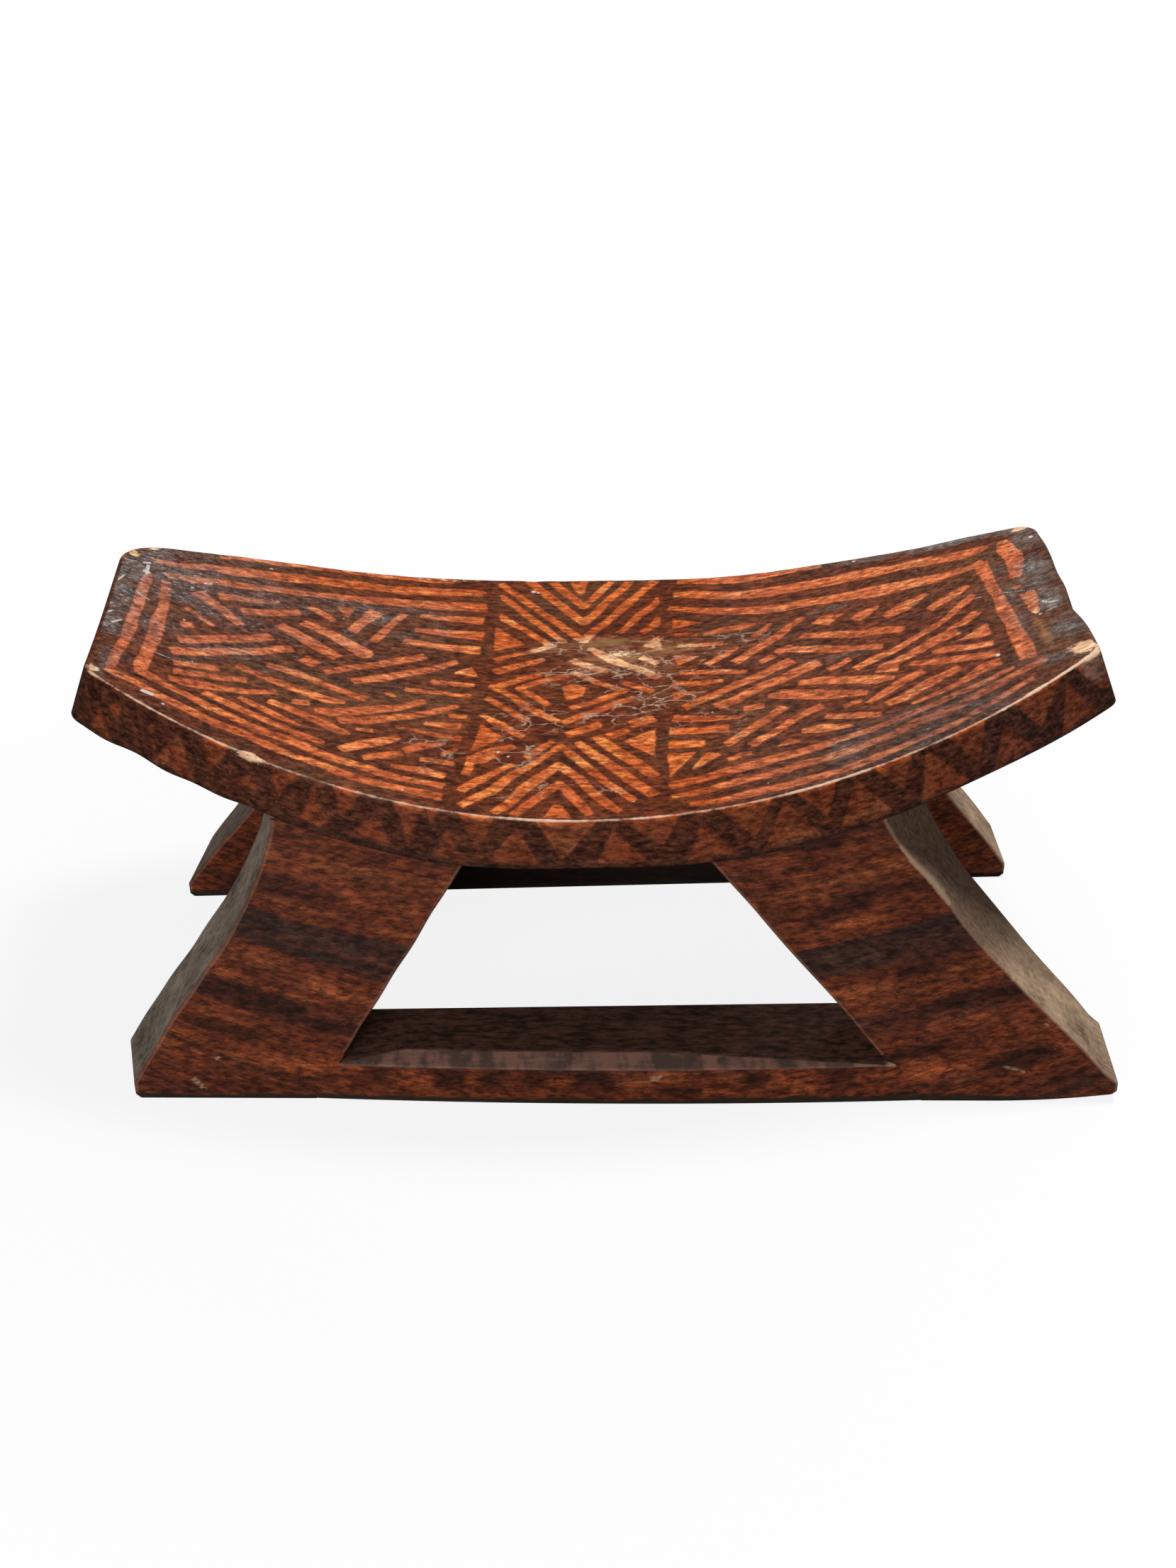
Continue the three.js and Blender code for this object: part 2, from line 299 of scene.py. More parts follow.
# The drawing on the top. Each strip that the iron left light is a bent line of points: s along
# the seat, y across it, and its width there, in mm.
strips = [
    # left end
    [(-192, 44.5, 2.5), (-192.5, 38, 3.5), (-192.5, 20, 4), (-193, 0, 4.5), (-193.5, -12, 4.5),
     (-193, -22, 3.5), (-195.5, -35, 4), (-195.5, -46, 3.5)],
    [(-184.5, 42, 3.5), (-183, 30, 4), (-182.5, 15, 4), (-182.5, 0, 5.5), (-182.5, -15, 6),
     (-183.5, -25, 4.5), (-184, -38, 5.5), (-183, -44, 5)],
    # left back border
    [(-165, 81, 2), (-150, 86.5, 2.5), (-130, 91.5, 3), (-110, 95.5, 4), (-100, 97, 4.5),
     (-80, 98.5, 6), (-70, 98.5, 5), (-60, 99.5, 2)],
    [(-192, 57, 4), (-180, 61, 4), (-170, 66, 5), (-160, 69, 8), (-150, 72.5, 8.5),
     (-135, 76.5, 8.5), (-120, 80.5, 8), (-105, 82.5, 7.5), (-90, 83.3, 6), (-80, 84.7, 7.5),
     (-70, 86, 8), (-60, 88, 6.5), (-50, 89, 6), (-46.5, 87.5, 5.5)],
    [(-185, 47, 4), (-175, 50, 4.5), (-165, 54, 4.5), (-150, 58.5, 4.5), (-135, 62.5, 4.5),
     (-120, 65, 4), (-110, 67, 5.5), (-100, 68, 6), (-85, 70.5, 7.5), (-70, 71.5, 7.5),
     (-55, 73.5, 7.5), (-45, 73.5, 7.5)],
    # left front border
    [(-197, -49, 3), (-185, -52, 3.5), (-172, -58, 4), (-160, -62, 4), (-150, -66.5, 4.5),
     (-140, -69, 4.5), (-130, -73, 4), (-118, -77.5, 3), (-106, -81, 4), (-100, -83.5, 4.5),
     (-90, -86.5, 4), (-80, -89, 3.5), (-65, -91.5, 4), (-58, -93, 4)],
    [(-183, -43, 5), (-175, -46.5, 3.5), (-165, -50, 3.5), (-155, -55, 4), (-145, -58.5, 4),
     (-135, -63, 4.5), (-125, -66, 4.5), (-115, -69, 4.5), (-105, -73.5, 4.5), (-95, -76, 4.5),
     (-87, -78.5, 4), (-80, -81.5, 4), (-70, -83, 3.5), (-62, -84, 3), (-57, -85.5, 3)],
    [(-157, -45.5, 3.5), (-145, -50, 4), (-135, -53.5, 3), (-125, -57.5, 3), (-115, -62, 3.5),
     (-107, -64, 2.5)],
    [(-143, -42, 3), (-133, -47, 3), (-125, -51, 2.5), (-117, -54, 1.5)],
    [(-131, -40, 3.5), (-120, -43.5, 4), (-110, -48, 4), (-103, -52, 4.5), (-97, -55, 3)],
    # left weave
    [(-161, 41.5, 5.5), (-145, 46, 4), (-135.5, 49.5, 1.5)],
    [(-150, 32.5, 5), (-126, 43.5, 4)],
    [(-170.5, 39.5, 7), (-160, 31, 5), (-149.5, 19.5, 4)],
    [(-173, 22, 2), (-160, 12, 2)],
    [(-171.5, 9, 5), (-170.5, 5, 5)],
    [(-172.5, -7.5, 6), (-135.5, 15, 5)],
    [(-174, -19.5, 5), (-150, -6, 5), (-140, -0.5, 5), (-126, 8.5, 5)],
    [(-172, -28, 3.5), (-154, -23, 4)],
    [(-171, -35, 3.5), (-155, -31, 3.5), (-142, -27.5, 3)],
    [(-172, -41, 3), (-163, -41, 5.5), (-150, -38, 4), (-140, -36, 3), (-129.5, -31.5, 3)],
    [(-147, -17, 4), (-135, -21, 3.5), (-120, -26, 4.5), (-108, -30, 5), (-101, -30, 2)],
    [(-135, -9.5, 3.5), (-120, -13, 4), (-110, -17.5, 4), (-102, -20.5, 3.5), (-92, -24.5, 4)],
    [(-133.5, 28, 5), (-120, 18.5, 7), (-106.5, 8, 6)],
    [(-123.5, 35, 5), (-110, 28, 6), (-96, 16, 8), (-93.5, 14.5, 5)],
    [(-122, 51, 3.5), (-117, 48, 3.5), (-111, 42.5, 3)],
    [(-106.5, 57, 7), (-105.7, 47.5, 0.5)],
    [(-93.5, 58, 7), (-98, 47, 4.5), (-102, 35, 4.5)],
    [(-81, 59, 2.5), (-85, 50, 3), (-92.5, 28.5, 3.5)],
    [(-74, 60, 3), (-46, 59.5, 7)],
    [(-75, 44.5, 3), (-60, 45, 6), (-45.5, 44.5, 7.5)],
    [(-80, 33, 5), (-65, 31, 4.5), (-46.5, 30, 7)],
    [(-111, -6.5, 3.5), (-100, 1.5, 4), (-85, 10.5, 4.5), (-70, 20.5, 4)],
    [(-98.5, -11, 3.5), (-88, -4.5, 5), (-75, 3.5, 4.5), (-64, 11, 4.5), (-56, 18, 3)],
    [(-56, 7, 1), (-48, 9.5, 9)],
    [(-66, -2, 3), (-48, -2.5, 3)],
    [(-77, -11, 3), (-65, -11.5, 3), (-49, -12, 2)],
    [(-84.5, -16, 2), (-81, -19, 2)],
    [(-112, -40.5, 3), (-106, -39.5, 5), (-93, -34, 5), (-80, -28.5, 4.5), (-68, -20, 3)],
    [(-102, -45, 4), (-88, -40, 5), (-75, -34, 4), (-62, -27, 3.5), (-54, -21.5, 2)],
    [(-57, -30.5, 3), (-50, -30, 3)],
    [(-67, -38, 3), (-52, -39, 4.5)],
    [(-78, -44, 1.5), (-65, -46, 2), (-52, -48, 3)],
    [(-94, -49.5, 2), (-88, -49.5, 2)],
    [(-100, -66.5, 4), (-90, -60.5, 5), (-82, -55, 4.5), (-77, -51.5, 3)],
    [(-90, -71, 3), (-80, -66, 4.5), (-75, -64, 3)],
    [(-74, -61.5, 4), (-66, -55.5, 4.5), (-60, -54, 2.5)],
    [(-58, -61, 2), (-53.5, -56, 2)],
    [(-67, -67, 2.5), (-54, -68, 3)],
    [(-78, -74, 2.5), (-65, -75, 4), (-57, -78, 4)],
    [(-121, 2, 6), (-115.5, -1.5, 6)],
    [(-122, -36, 3.5), (-115, -35.5, 3.5)],
    # back chevrons
    [(-6, 105, 3), (-2.5, 93, 3), (-0.5, 105, 2.5)],
    [(-15.5, 104, 4), (-1.3, 76.5, 3.5), (12, 104, 3)],
    [(-26.5, 105, 4.5), (-1.2, 60, 4), (20.5, 103, 3.5)],
    [(-39.5, 101, 3.5), (-1.5, 42, 3.8), (32, 101.5, 4)],
    [(-38.5, 88, 1), (-36, 83, 3.5), (-30, 73, 3), (-22, 60, 3.5), (-15, 49, 3), (-10, 40.5, 2.5)],
    [(33, 83, 1), (31.5, 77, 3.5), (25, 67, 4), (20, 57, 3), (14, 49, 2.5)],
    [(-38, 68, 1), (-36, 62, 4), (-27, 52, 3), (-20, 43, 3.5), (-15.5, 37, 3), (-20, 34, 2.5),
     (-30, 28.5, 2.5), (-39.5, 22, 3)],
    [(32.5, 62, 1.5), (31, 55, 4), (25, 48, 3)],
    # lozenges
    [(-39.5, 11, 5), (-28, 18, 4), (-18.5, 24, 2.5)],
    [(-20, 10, 3.5), (-30, 4, 3.5), (-39.5, -3, 4), (-31, -11, 3), (-27, -17, 4), (-20, -24, 4),
     (-12, -31, 3)],
    [(-8, 9, 3), (-17, 5, 3), (-28.5, -3, 3), (-24, -8, 3), (-16, -17, 3)],
    [(-6, 23, 4), (0, 18, 4), (9, 12.5, 3)],
    [(-6, 12, 3), (0, 7, 3), (5, 2, 3), (12, -3, 3), (17, -7, 4)],
    [(1, 35, 3), (12, 22, 5), (19, 15.5, 3), (23, 13, 4), (31, 4, 4)],
    [(15, 2, 3), (22, -3, 3), (28, -8, 3)],
    [(24, 24, 3), (31, 17, 3)],
    [(14, -8, 3.5), (4, -14, 3.5), (-6, -20, 3)],
    [(20, -13, 3), (12, -17, 3), (3, -23, 3.5), (-10, -32, 3)],
    [(6, -34, 5), (-8, -42, 4)],
    [(28, -31, 6), (18, -35, 5)],
    [(17, -39, 3), (9, -44, 4)],
    [(-42, -13, 3), (-33, -22, 3), (-24, -32, 3)],
    [(-43.5, -27.5, 2), (-36, -35, 4.5), (-26, -44.5, 2.5)],
    # front chevrons
    [(-29, -103, 3), (-18, -89, 4), (-11.5, -79.5, 3.5), (-5, -90, 4), (1, -102, 3)],
    [(-36, -102, 3), (-33, -98, 4), (-25, -84, 5), (-17, -73, 4), (-11, -66, 3.5), (-3, -76, 4),
     (2, -86, 4), (10, -98, 3.5), (13, -101, 2)],
    [(-50, -98, 3.5), (-38, -86, 4), (-30, -75, 4), (-24, -68, 3), (-18, -60, 2),
     (-10.5, -51.5, 3), (-2, -64, 3.5), (8, -80, 3), (18, -93, 2.5)],
    [(-4, -48, 3), (3, -58, 4.5), (10, -67, 4.5), (17, -78, 4.5), (26, -90, 4.5)],
    [(-14, -48, 2), (-19, -54, 3), (-25, -60, 3)],
    [(-30, -66, 2), (-38, -74, 3), (-44, -80, 4), (-50, -88, 3)],
    [(4, -44, 4), (10, -53, 5), (20, -66, 5), (27, -77, 4)],
    [(-30, -52, 3), (-37, -57, 6), (-45, -64, 7)],
    [(-47, -62, 3), (-48.5, -75, 3)],
    # right back border
    [(43, 100, 6), (50, 98, 6), (60, 95, 6.5), (70, 93.5, 7), (80, 93, 6.5), (90, 92.5, 5),
     (100, 92.5, 3), (110, 91.5, 3)],
    [(41, 84.5, 4), (50, 83.5, 7), (60, 79, 7.5), (70, 76, 7), (80, 75, 8), (100, 74, 9),
     (110, 73.5, 9), (120, 73, 8), (132, 72, 9), (140, 70.5, 6), (150, 69.5, 6.5), (156, 67.5, 8),
     (163, 65, 6), (170, 63.5, 7.5), (178, 62.5, 6), (183, 63, 2)],
    [(38, 71, 3), (45, 68, 4), (52, 65, 5), (60, 62.5, 6), (70, 59.5, 6), (80, 57, 7), (90, 56, 6),
     (100, 57, 6.5), (110, 55, 7), (120, 54.5, 8), (130, 52.5, 10), (140, 51, 9), (150, 50.5, 8),
     (160, 48, 6.5), (168, 48.5, 4.5), (173, 48, 4), (178, 51, 3)],
    # right end
    [(177.5, 50, 5), (177, 42, 5), (178, 30, 4.5), (178, 20, 4.5), (178.5, 10, 5), (178.5, 0, 5.5),
     (179.5, -12, 5), (179.5, -25, 6.5), (179.5, -38, 7), (179.5, -43, 6)],
    [(190, 63, 4), (190, 55, 7), (191, 45, 8), (190.5, 35, 7), (188.5, 26, 4)],
    [(187, 18, 3), (187.5, 15, 2)],
    [(190.5, 9, 6), (190.5, 0, 5), (190, -5, 4), (191, -10, 2)],
    # right weave
    [(40, 43, 2), (49, 42, 2)],
    [(52, 41, 2), (60, 43, 4), (70, 44, 5), (75, 45, 1)],
    [(40, 32, 2), (50, 31, 3), (60, 30, 3)],
    [(52, 12, 3), (60, 19, 3), (66, 25, 1.5)],
    [(64, 11, 5), (75, 21, 4), (85, 31, 4), (97, 42.5, 3)],
    [(74, 32, 3), (79, 38, 3), (82, 42.5, 1.5)],
    [(119, 30, 6), (124, 34.5, 6), (129.5, 38, 2)],
    [(131, 26.5, 4), (140, 31, 7), (151, 36.5, 2)],
    [(150, 22, 4), (158, 27, 6), (168, 33, 3)],
    [(94, 25.5, 4), (105, 22, 4.5), (115, 18, 6), (125, 16, 6), (137, 10.5, 4.5)],
    [(82.5, 14, 4), (89, 18, 4)],
    [(88, 15, 4.5), (100, 11, 5), (110, 6, 5), (126, 1, 3.5)],
    [(75, 8, 3), (81, 11, 3)],
    [(41, -24, 4), (50, -18, 4), (60, -11, 5), (70, -6, 5), (80, 0.5, 5), (88, 4.5, 6)],
    [(54, -26, 5), (65, -20, 4.5), (75, -13, 5), (88, -7, 6), (99, -1, 6)],
    [(40, 7, 3), (50, 5.5, 3), (60, 3, 3.5), (68, 1.5, 2.5)],
    [(37, -2.5, 4), (48, -4, 3.5), (58, -4, 2)],
    [(36, -32, 4.5), (50, -35, 4), (64, -37, 2)],
    [(34, -42.5, 5), (48, -44, 5), (58, -44.5, 5)],
    [(33.5, -53.5, 5), (47, -54.5, 5)],
    [(51, -63, 5), (47, -68, 4), (42, -73.5, 1)],
    [(55.5, -57, 4), (62, -52, 3.5), (70, -44, 3.5), (81.5, -34, 4)],
    [(66, -60, 4), (75, -53, 3.5), (85, -44, 4), (96, -37.5, 3.5)],
    [(65, -30, 3.5), (73, -30, 3.5)],
    [(76, -23, 3), (82, -23, 7), (95, -28, 7), (106, -32, 5), (115, -34.5, 3.5)],
    [(89, -15.5, 3), (98, -17, 6), (110, -21.5, 5.5), (120, -25.5, 6), (127, -27.5, 2)],
    [(102, -9, 3), (112, -4, 3)],
    [(113, -13, 4.5), (121, -9, 4.5), (130, -5, 4), (140, 0.5, 3.5), (150, 7, 3), (157, 11.5, 2.5),
     (164, 18, 4), (169, 23, 2.5)],
    [(124, -18, 5), (135, -13, 4.5), (147, -7, 6), (157, -3, 7)],
    [(122, -18, 4), (129.5, -21.5, 4)],
    [(154, 0.5, 2), (161, 1.5, 4), (168, 7, 5)],
    [(145, -15.5, 2.5), (152, -16.5, 4.5), (160, -20, 4), (169, -22.5, 3.5)],
    [(135, -19.5, 2.5), (145, -23, 4.5), (155, -27, 4), (169, -31.5, 4)],
    [(115, -43.5, 2), (121, -38.5, 4), (130, -32.5, 5), (139, -28.5, 4)],
    [(122, -47.5, 3.5), (130, -44, 5), (142, -38, 5), (153, -33, 3)],
    [(131, -51, 1.5), (145, -48, 2.5), (155, -43, 4), (162, -39, 6), (169, -38.5, 5)],
    [(105, -42, 2.5), (112, -40, 2.5)],
    [(97, -47, 3), (105, -49.5, 4), (118, -54, 3)],
    [(87, -55, 3), (95, -56, 6), (106, -57.5, 1)],
    [(56, -69, 2), (62, -66, 2.5), (65, -66, 2)],
    # right front border
    [(32.5, -84, 4.5), (40, -82, 4), (50, -79, 4), (60, -76, 5), (70, -73.5, 5), (80, -71.5, 5),
     (95, -68, 4), (110, -64.5, 3.5), (120, -62, 3), (130, -59, 3.5), (145, -54.5, 3),
     (160, -50, 2.5), (173, -46, 2)],
    [(33, -92.5, 2), (45, -90, 3.5), (55, -87, 4), (65, -84.5, 4), (75, -83, 4), (85, -80, 4),
     (95, -78, 4), (105, -75.5, 4), (120, -71, 3), (130, -66.5, 4), (140, -64, 5), (150, -61, 4),
     (160, -56, 3.5), (170, -52.5, 3), (185, -47, 2.5)],
    [(40, -99, 2), (55, -97, 3), (65, -95, 4), (80, -92, 4), (95, -89.5, 3.5), (110, -85.5, 4),
     (125, -80, 3), (140, -76, 3), (150, -71.5, 2.5), (160, -67, 3), (170, -61.5, 3),
     (178, -58.5, 2)],
]

# Light patches with straight sides on the top, each by its corners s and y
patches = [
    [(-40, 54), (-27.5, 38), (-40, 31)], [(25, 35), (32, 43), (33, 30)],
    [(-10, -1), (-5.5, 1), (-0.5, -2), (-1.5, -9), (-8.5, -13)],
    [(-43.5, -36), (-34.5, -45.5), (-46.8, -56.5)], [(28, -39.5), (15.5, -48.5), (27, -61)],
    [(-16.5, -104), (-13, -95.5), (-10.5, -95.5), (-6.5, -104)],
    [(39.5, 59), (52, 52.5), (39, 50)], [(38, 23), (49, 20.5), (40, 14)],
    [(100, 35), (105, 40.5), (113.5, 38.5), (107, 31)], [(36.5, -10.5), (45, -11), (37, -17)],
    [(32.5, -60.5), (43, -61), (33, -77)], [(157, -11.5), (169.5, -5), (170, -15.5)],
    [(76, -64), (80.5, -59.5), (85, -62.5)],
]

# The zigzag on the front edge: light triangles by their corners, s and mm below the top
edge_triangles = [
    [(-197.5, 25), (-194.5, 17), (-189, 25)], [(-191, 9), (-188, 7), (-187, 16)],
    [(-175.5, 8), (-173, 6), (-172, 14)], [(-170, 24), (-162.6, 6.8), (-155, 23)],
    [(-153, 0), (-143, 0), (-148.7, 14)], [(-137, 14), (-132.5, 7.5), (-129.5, 14)],
    [(-125, 1), (-115.5, 1), (-120.5, 11)], [(-111, 20), (-107.3, 5.3), (-101, 20)],
    [(-100, 0), (-90, 0), (-96, 12)], [(-90, 18), (-80.7, 7.5), (-77, 19)],
    [(-74.5, 0), (-64, 0), (-69.4, 15)], [(-63.5, 0), (-58.5, 0), (-61, 5)],
    [(-60, 22), (-54.3, 11), (-47.5, 22)], [(-50, 0), (-36.5, 0), (-42.3, 16)],
    [(-38, 20), (-27.2, 4.5), (-19, 20)], [(-20, 0), (3.5, 0), (-9.2, 17.3)],
    [(4, 19), (9.9, 4.5), (22, 19.5)], [(13, 0), (35.5, 0), (28.3, 12.5)],
    [(37, 23), (43.4, 5.5), (57, 23)], [(50.5, 0), (70, 0), (62.6, 16)],
    [(65.5, 23), (75, 3), (87, 23)], [(80, 0), (95, 0), (90.4, 14.5)],
    [(94.5, 23), (102.8, 3), (114.5, 23)], [(110, 0), (125, 0), (119.7, 13.5)],
    [(126, 24), (131, 2.3), (144.5, 24)], [(140.5, 0), (155, 0), (149.8, 17.5)],
    [(155, 25), (162.2, 7.5), (170.5, 25)], [(168, 0), (187.5, 0), (175.7, 17.5)],
    [(182.5, 28), (189.3, 6), (197.5, 28)], [(194, 0), (206, 0), (206, 22), (201, 17)],
]


def reach_of_strip(line, s, y):
    """Signed distance in mm to a strip, negative inside. Each stretch is a wedge about its
    middle line, square at the strip's own ends and round where two stretches meet."""
    line = np.array(line, float)
    nearest = np.full(s.shape, 9.0)
    last = len(line) - 2
    for number, (start, stop) in enumerate(zip(line[:-1], line[1:])):
        run = stop[:2] - start[:2]
        length = np.hypot(*run)
        run = run / length
        along = (s - start[0]) * run[0] + (y - start[1]) * run[1]
        aside = np.abs((y - start[1]) * run[0] - (s - start[0]) * run[1])
        half = (start[2] + (stop[2] - start[2]) * np.clip(along / length, 0, 1)) / 2
        before, after = np.maximum(-along, 0), np.maximum(along - length, 0)
        away = np.hypot(aside, before + after) - half
        for cut, past in ((number == 0, -along), (number == last, along - length)):
            if cut:
                away = np.where(past > 0, np.maximum(aside - half, past), away)
                away = np.maximum(away, past)
        nearest = np.minimum(nearest, away)
    return nearest


def reach_of_patch(corners, s, y):
    """Signed distance in mm to a patch with straight sides, negative inside: the furthest
    outside of any of its sides."""
    corners = np.array(corners, float)
    middle = corners.mean(axis=0)
    away = np.full(s.shape, -9.0)
    for start, stop in zip(corners, np.roll(corners, -1, axis=0)):
        run = (stop - start) / np.hypot(*(stop - start))
        outward = np.array([run[1], -run[0]])
        if outward @ (middle - start) > 0:
            outward = -outward
        away = np.maximum(away, (s - start[0]) * outward[0] + (y - start[1]) * outward[1])
    return away


def burnt(shapes, reach, s, y):
    """How many mm a point lies inside what the iron darkened: the distance to the nearest of
    the light shapes, negative in one, and 5 mm at most. Each shape is only worked out within
    8 mm of itself."""
    away = np.full(s.shape, 5.0)
    for shape in shapes:
        corners = np.array(shape, float)[:, :2]
        low, high = corners.min(axis=0) - 8, corners.max(axis=0) + 8
        near = np.flatnonzero((s > low[0]) & (s < high[0]) & (y > low[1]) & (y < high[1]))
        away[near] = np.minimum(away[near], reach(shape, s[near], y[near]))
    return away


# The points of the top and of the rings, by number, with their s, y and mm below the top
on_top, on_rings = top_index.ravel(), ring_index[1:].ravel()
on_front = ring_index[1:, :count].ravel()
on_back = ring_index[1:, count + depth - 2:2 * count + depth - 2].ravel()
top_s, top_y = s[on_top], y[on_top]
edge_s, edge_y, edge_below = s[on_rings], y[on_rings], below[on_rings]
front_y = np.interp(top_s, front_line[:, 0], front_line[:, 1])
back_y = np.interp(top_s, back_line[:, 0], back_line[:, 1])

# Burn: mm inside the dark lines. The iron swayed by fractions of a millimetre. The back edge,
# which the photo hides, has an even zigzag of dark lines 6 mm wide. The front edge is smeared
# left of the middle.
sway = 0.2 * np.sin(s / 4.3 + y / 7.1) + 0.2 * np.sin(y / 3.7 - s / 9.7)
burn = np.full(len(seat_laid), 5.0)
burn[on_top] = np.minimum(
    burnt(strips, reach_of_strip, (s + sway)[on_top], (y - sway)[on_top]),
    burnt(patches, reach_of_patch, top_s, top_y))
burn[on_front] = burnt(edge_triangles, reach_of_patch, s[on_front], below[on_front])
smeared = on_front[s[on_front] < -40]
waves = np.sin(s / 5.3 + below / 3.1) + np.sin(s / 2.9 - below / 4.7)
burn[smeared] = 0.55 * burn[smeared] + 0.28 * waves[smeared] + 0.1
zigzag = np.abs((s[on_back] / 16.0) % 2 - 1) * 24 + 1
burn[on_back] = 3.0 - np.abs(below[on_back] - zigzag)

# Arris: mm to the upper arris, a little less where it is worn most
arris = np.full(len(seat_laid), 20.0)
arris[on_top] = 0.7 + np.minimum.reduce([
    top_y - front_y, back_y - top_y + 0.6, half_arc - np.abs(top_s) - 0.2])
down, round_the_slab = np.divmod(np.arange(len(on_rings)), ring_length)
arris[on_rings] = np.select([down == 0, down == 1], [0.2, 0.35], edge_below)
arris[on_rings] += np.select([round_the_slab < count, edge_y > 50], [0, 0.6], 0.9)
arris -= (0.3 * hump(s, 186, 20) + 0.08 * hump(s, -165, 20)) * (y < 0)

# Wear, each spot by its middle s and y, its reach along both, and its strength: wood rubbed
# bare, varnish gone grey, varnish crazed to a fine net, and the drawing faded. Last the nicks
# that show as pale specks, by s, y and radius, and the scuffs, by lines as in the drawing.
rubbed_spots = [
    (200.5, -49, 5.5, 4, 1.0), (200.5, 69, 4.5, 2.6, 1.1), (-203, -52.5, 4, 2.2, 1.1),
    (-205.5, -37, 1.2, 6, 0.8), (-201.5, 58, 3, 3, 0.8), (-197, 69, 5, 2, 0.8),
    (14, 29, 13, 5, 0.42), (165, 89, 20, 1.2, 0.5),
]
grey_spots = [
    (196, 24, 7, 12, 1), (198, -4, 6, 8, 1), (199, -28, 8, 12, 0.7), (200, 52, 6, 10, 0.8),
    (183, 10, 6, 40, 0.3), (-202, 34, 9, 32, 0.35), (-203, -10, 6, 9, 0.7), (192, -48, 12, 4, 0.5),
    (110, 0, 9, 2.5, 0.5), (112, 46, 10, 2.5, 0.6), (172, 25, 14, 2, 0.4), (-199, -45, 4, 12, 0.4),
]
crazed_spots = [
    (12, 36, 34, 8, 1), (40, 24, 26, 10, 0.9), (-2, 8, 26, 12, 0.8), (24, 4, 24, 14, 0.9),
    (-24, -30, 16, 16, 0.8), (6, -22, 24, 12, 0.9), (36, -12, 22, 14, 0.75),
    (-30, -55, 14, 14, 0.6), (-20, -85, 30, 12, 0.45), (52, -40, 30, 20, 0.4),
    (70, 30, 24, 12, 0.5), (-62, -55, 20, 16, 0.45),
]
faded_spots = [
    (10, 38, 20, 7, 1), (34, 30, 18, 9, 0.8), (-14, 34, 12, 6, 0.6), (50, 24, 10, 12, 0.4),
    (189.5, -26, 2.6, 18, 0.8), (12, 22, 24, 8, 0.75), (30, 12, 12, 8, 0.6), (2, 12, 12, 6, 0.5),
    (20, -26, 10, 4, 0.4),
]
specks = [
    (-168, 50, 0.9), (-166, 51, 0.8), (-173, 42.5, 0.8), (-172.5, 10.5, 0.7), (-165, -23, 0.5),
    (-181, 70, 0.6), (-142, 82, 0.9), (-24, 93, 1.3), (-22, 92, 0.9), (125, 88, 0.9),
    (202, 57, 1.1), (-171.5, -62.5, 0.8), (134, -73, 0.6), (-73, -91, 0.6), (18, -94, 0.7),
    (-36, -57, 0.9), (-32, -60, 0.8), (70, -90, 0.6), (-107, 46, 0.6), (169, -33, 1.1),
    (52, -30, 0.6), (-60, -30, 0.5), (150, 62, 0.5), (161, 22, 0.5), (192, -12, 0.8),
]
scuffs = [
    [(168, 19.5, 0.4), (172, 19, 0.6), (174.5, 18, 0.3)],
    [(181, 16, 0.6), (185, 14, 0.6), (189, 12, 0.5), (192, 9, 0.3), (195.5, 8, 0.6),
     (203, 3, 0.3)],
    [(-204, -21.5, 0.2), (-195, -19, 0.3), (-191, -18.5, 0.5), (-186, -23, 0.3),
     (-181, -24.5, 0.6), (-173, -25.5, 0.4)],
    [(194, -1.5, 1.0), (197, -5, 1.2), (201, -6.5, 0.8)],
    [(195, -11, 0.8), (200, -11, 0.5)],
    [(177.5, -6, 0.4), (182, -5, 0.5)],
    [(-196, 52, 1.6), (-192.5, 54, 1.4)],
    [(-195, 44.5, 1.4), (-193, 44.5, 2.2), (-191.5, 44, 1.2)],
    [(-193.5, 51.5, 1.5), (-193, 42, 1.4)],
    [(-204, 50.5, 1.1), (-200, 50, 0.9)],
    [(-204, 27.5, 1.0), (-201.5, 35, 0.8)],
    [(-205, -5, 1.1), (-202, -0.5, 1.0)],
    [(-201, -11, 1.0), (-197, -5.5, 0.9)],
    [(-195.5, 24, 0.8), (-192, 20.5, 1.0), (-188.5, 19, 0.8)],
    [(-181.5, -57, 2.2), (-176, -58, 2.4)],
    [(-193.5, 68.5, 0.8), (-189, 73.5, 0.6)],
]


def spotted(spots, s, y):
    """The strongest of several round spots at each point, each fading with the square of its
    distance."""
    strength = 0 * s
    for at_s, at_y, wide, deep, strong in spots:
        strength = np.maximum(strength, strong * hump(s, at_s, wide) * hump(y, at_y, deep))
    return strength


rubbed = spotted(rubbed_spots, s, y)
rubbed[on_top] += 0.36 * hump(back_y - top_y, 1.0, 1.6) * hump(top_s, -85, 50)
right_corner = 0.55 * hump(edge_s, 204, 6) * hump(edge_y, -56, 10) * (edge_below < 3)
chip = 1.3 * hump(edge_s, -134.5, 5) * hump(edge_below, 0, 2.2) * (edge_y < 0)
rubbed[on_rings] = right_corner + chip

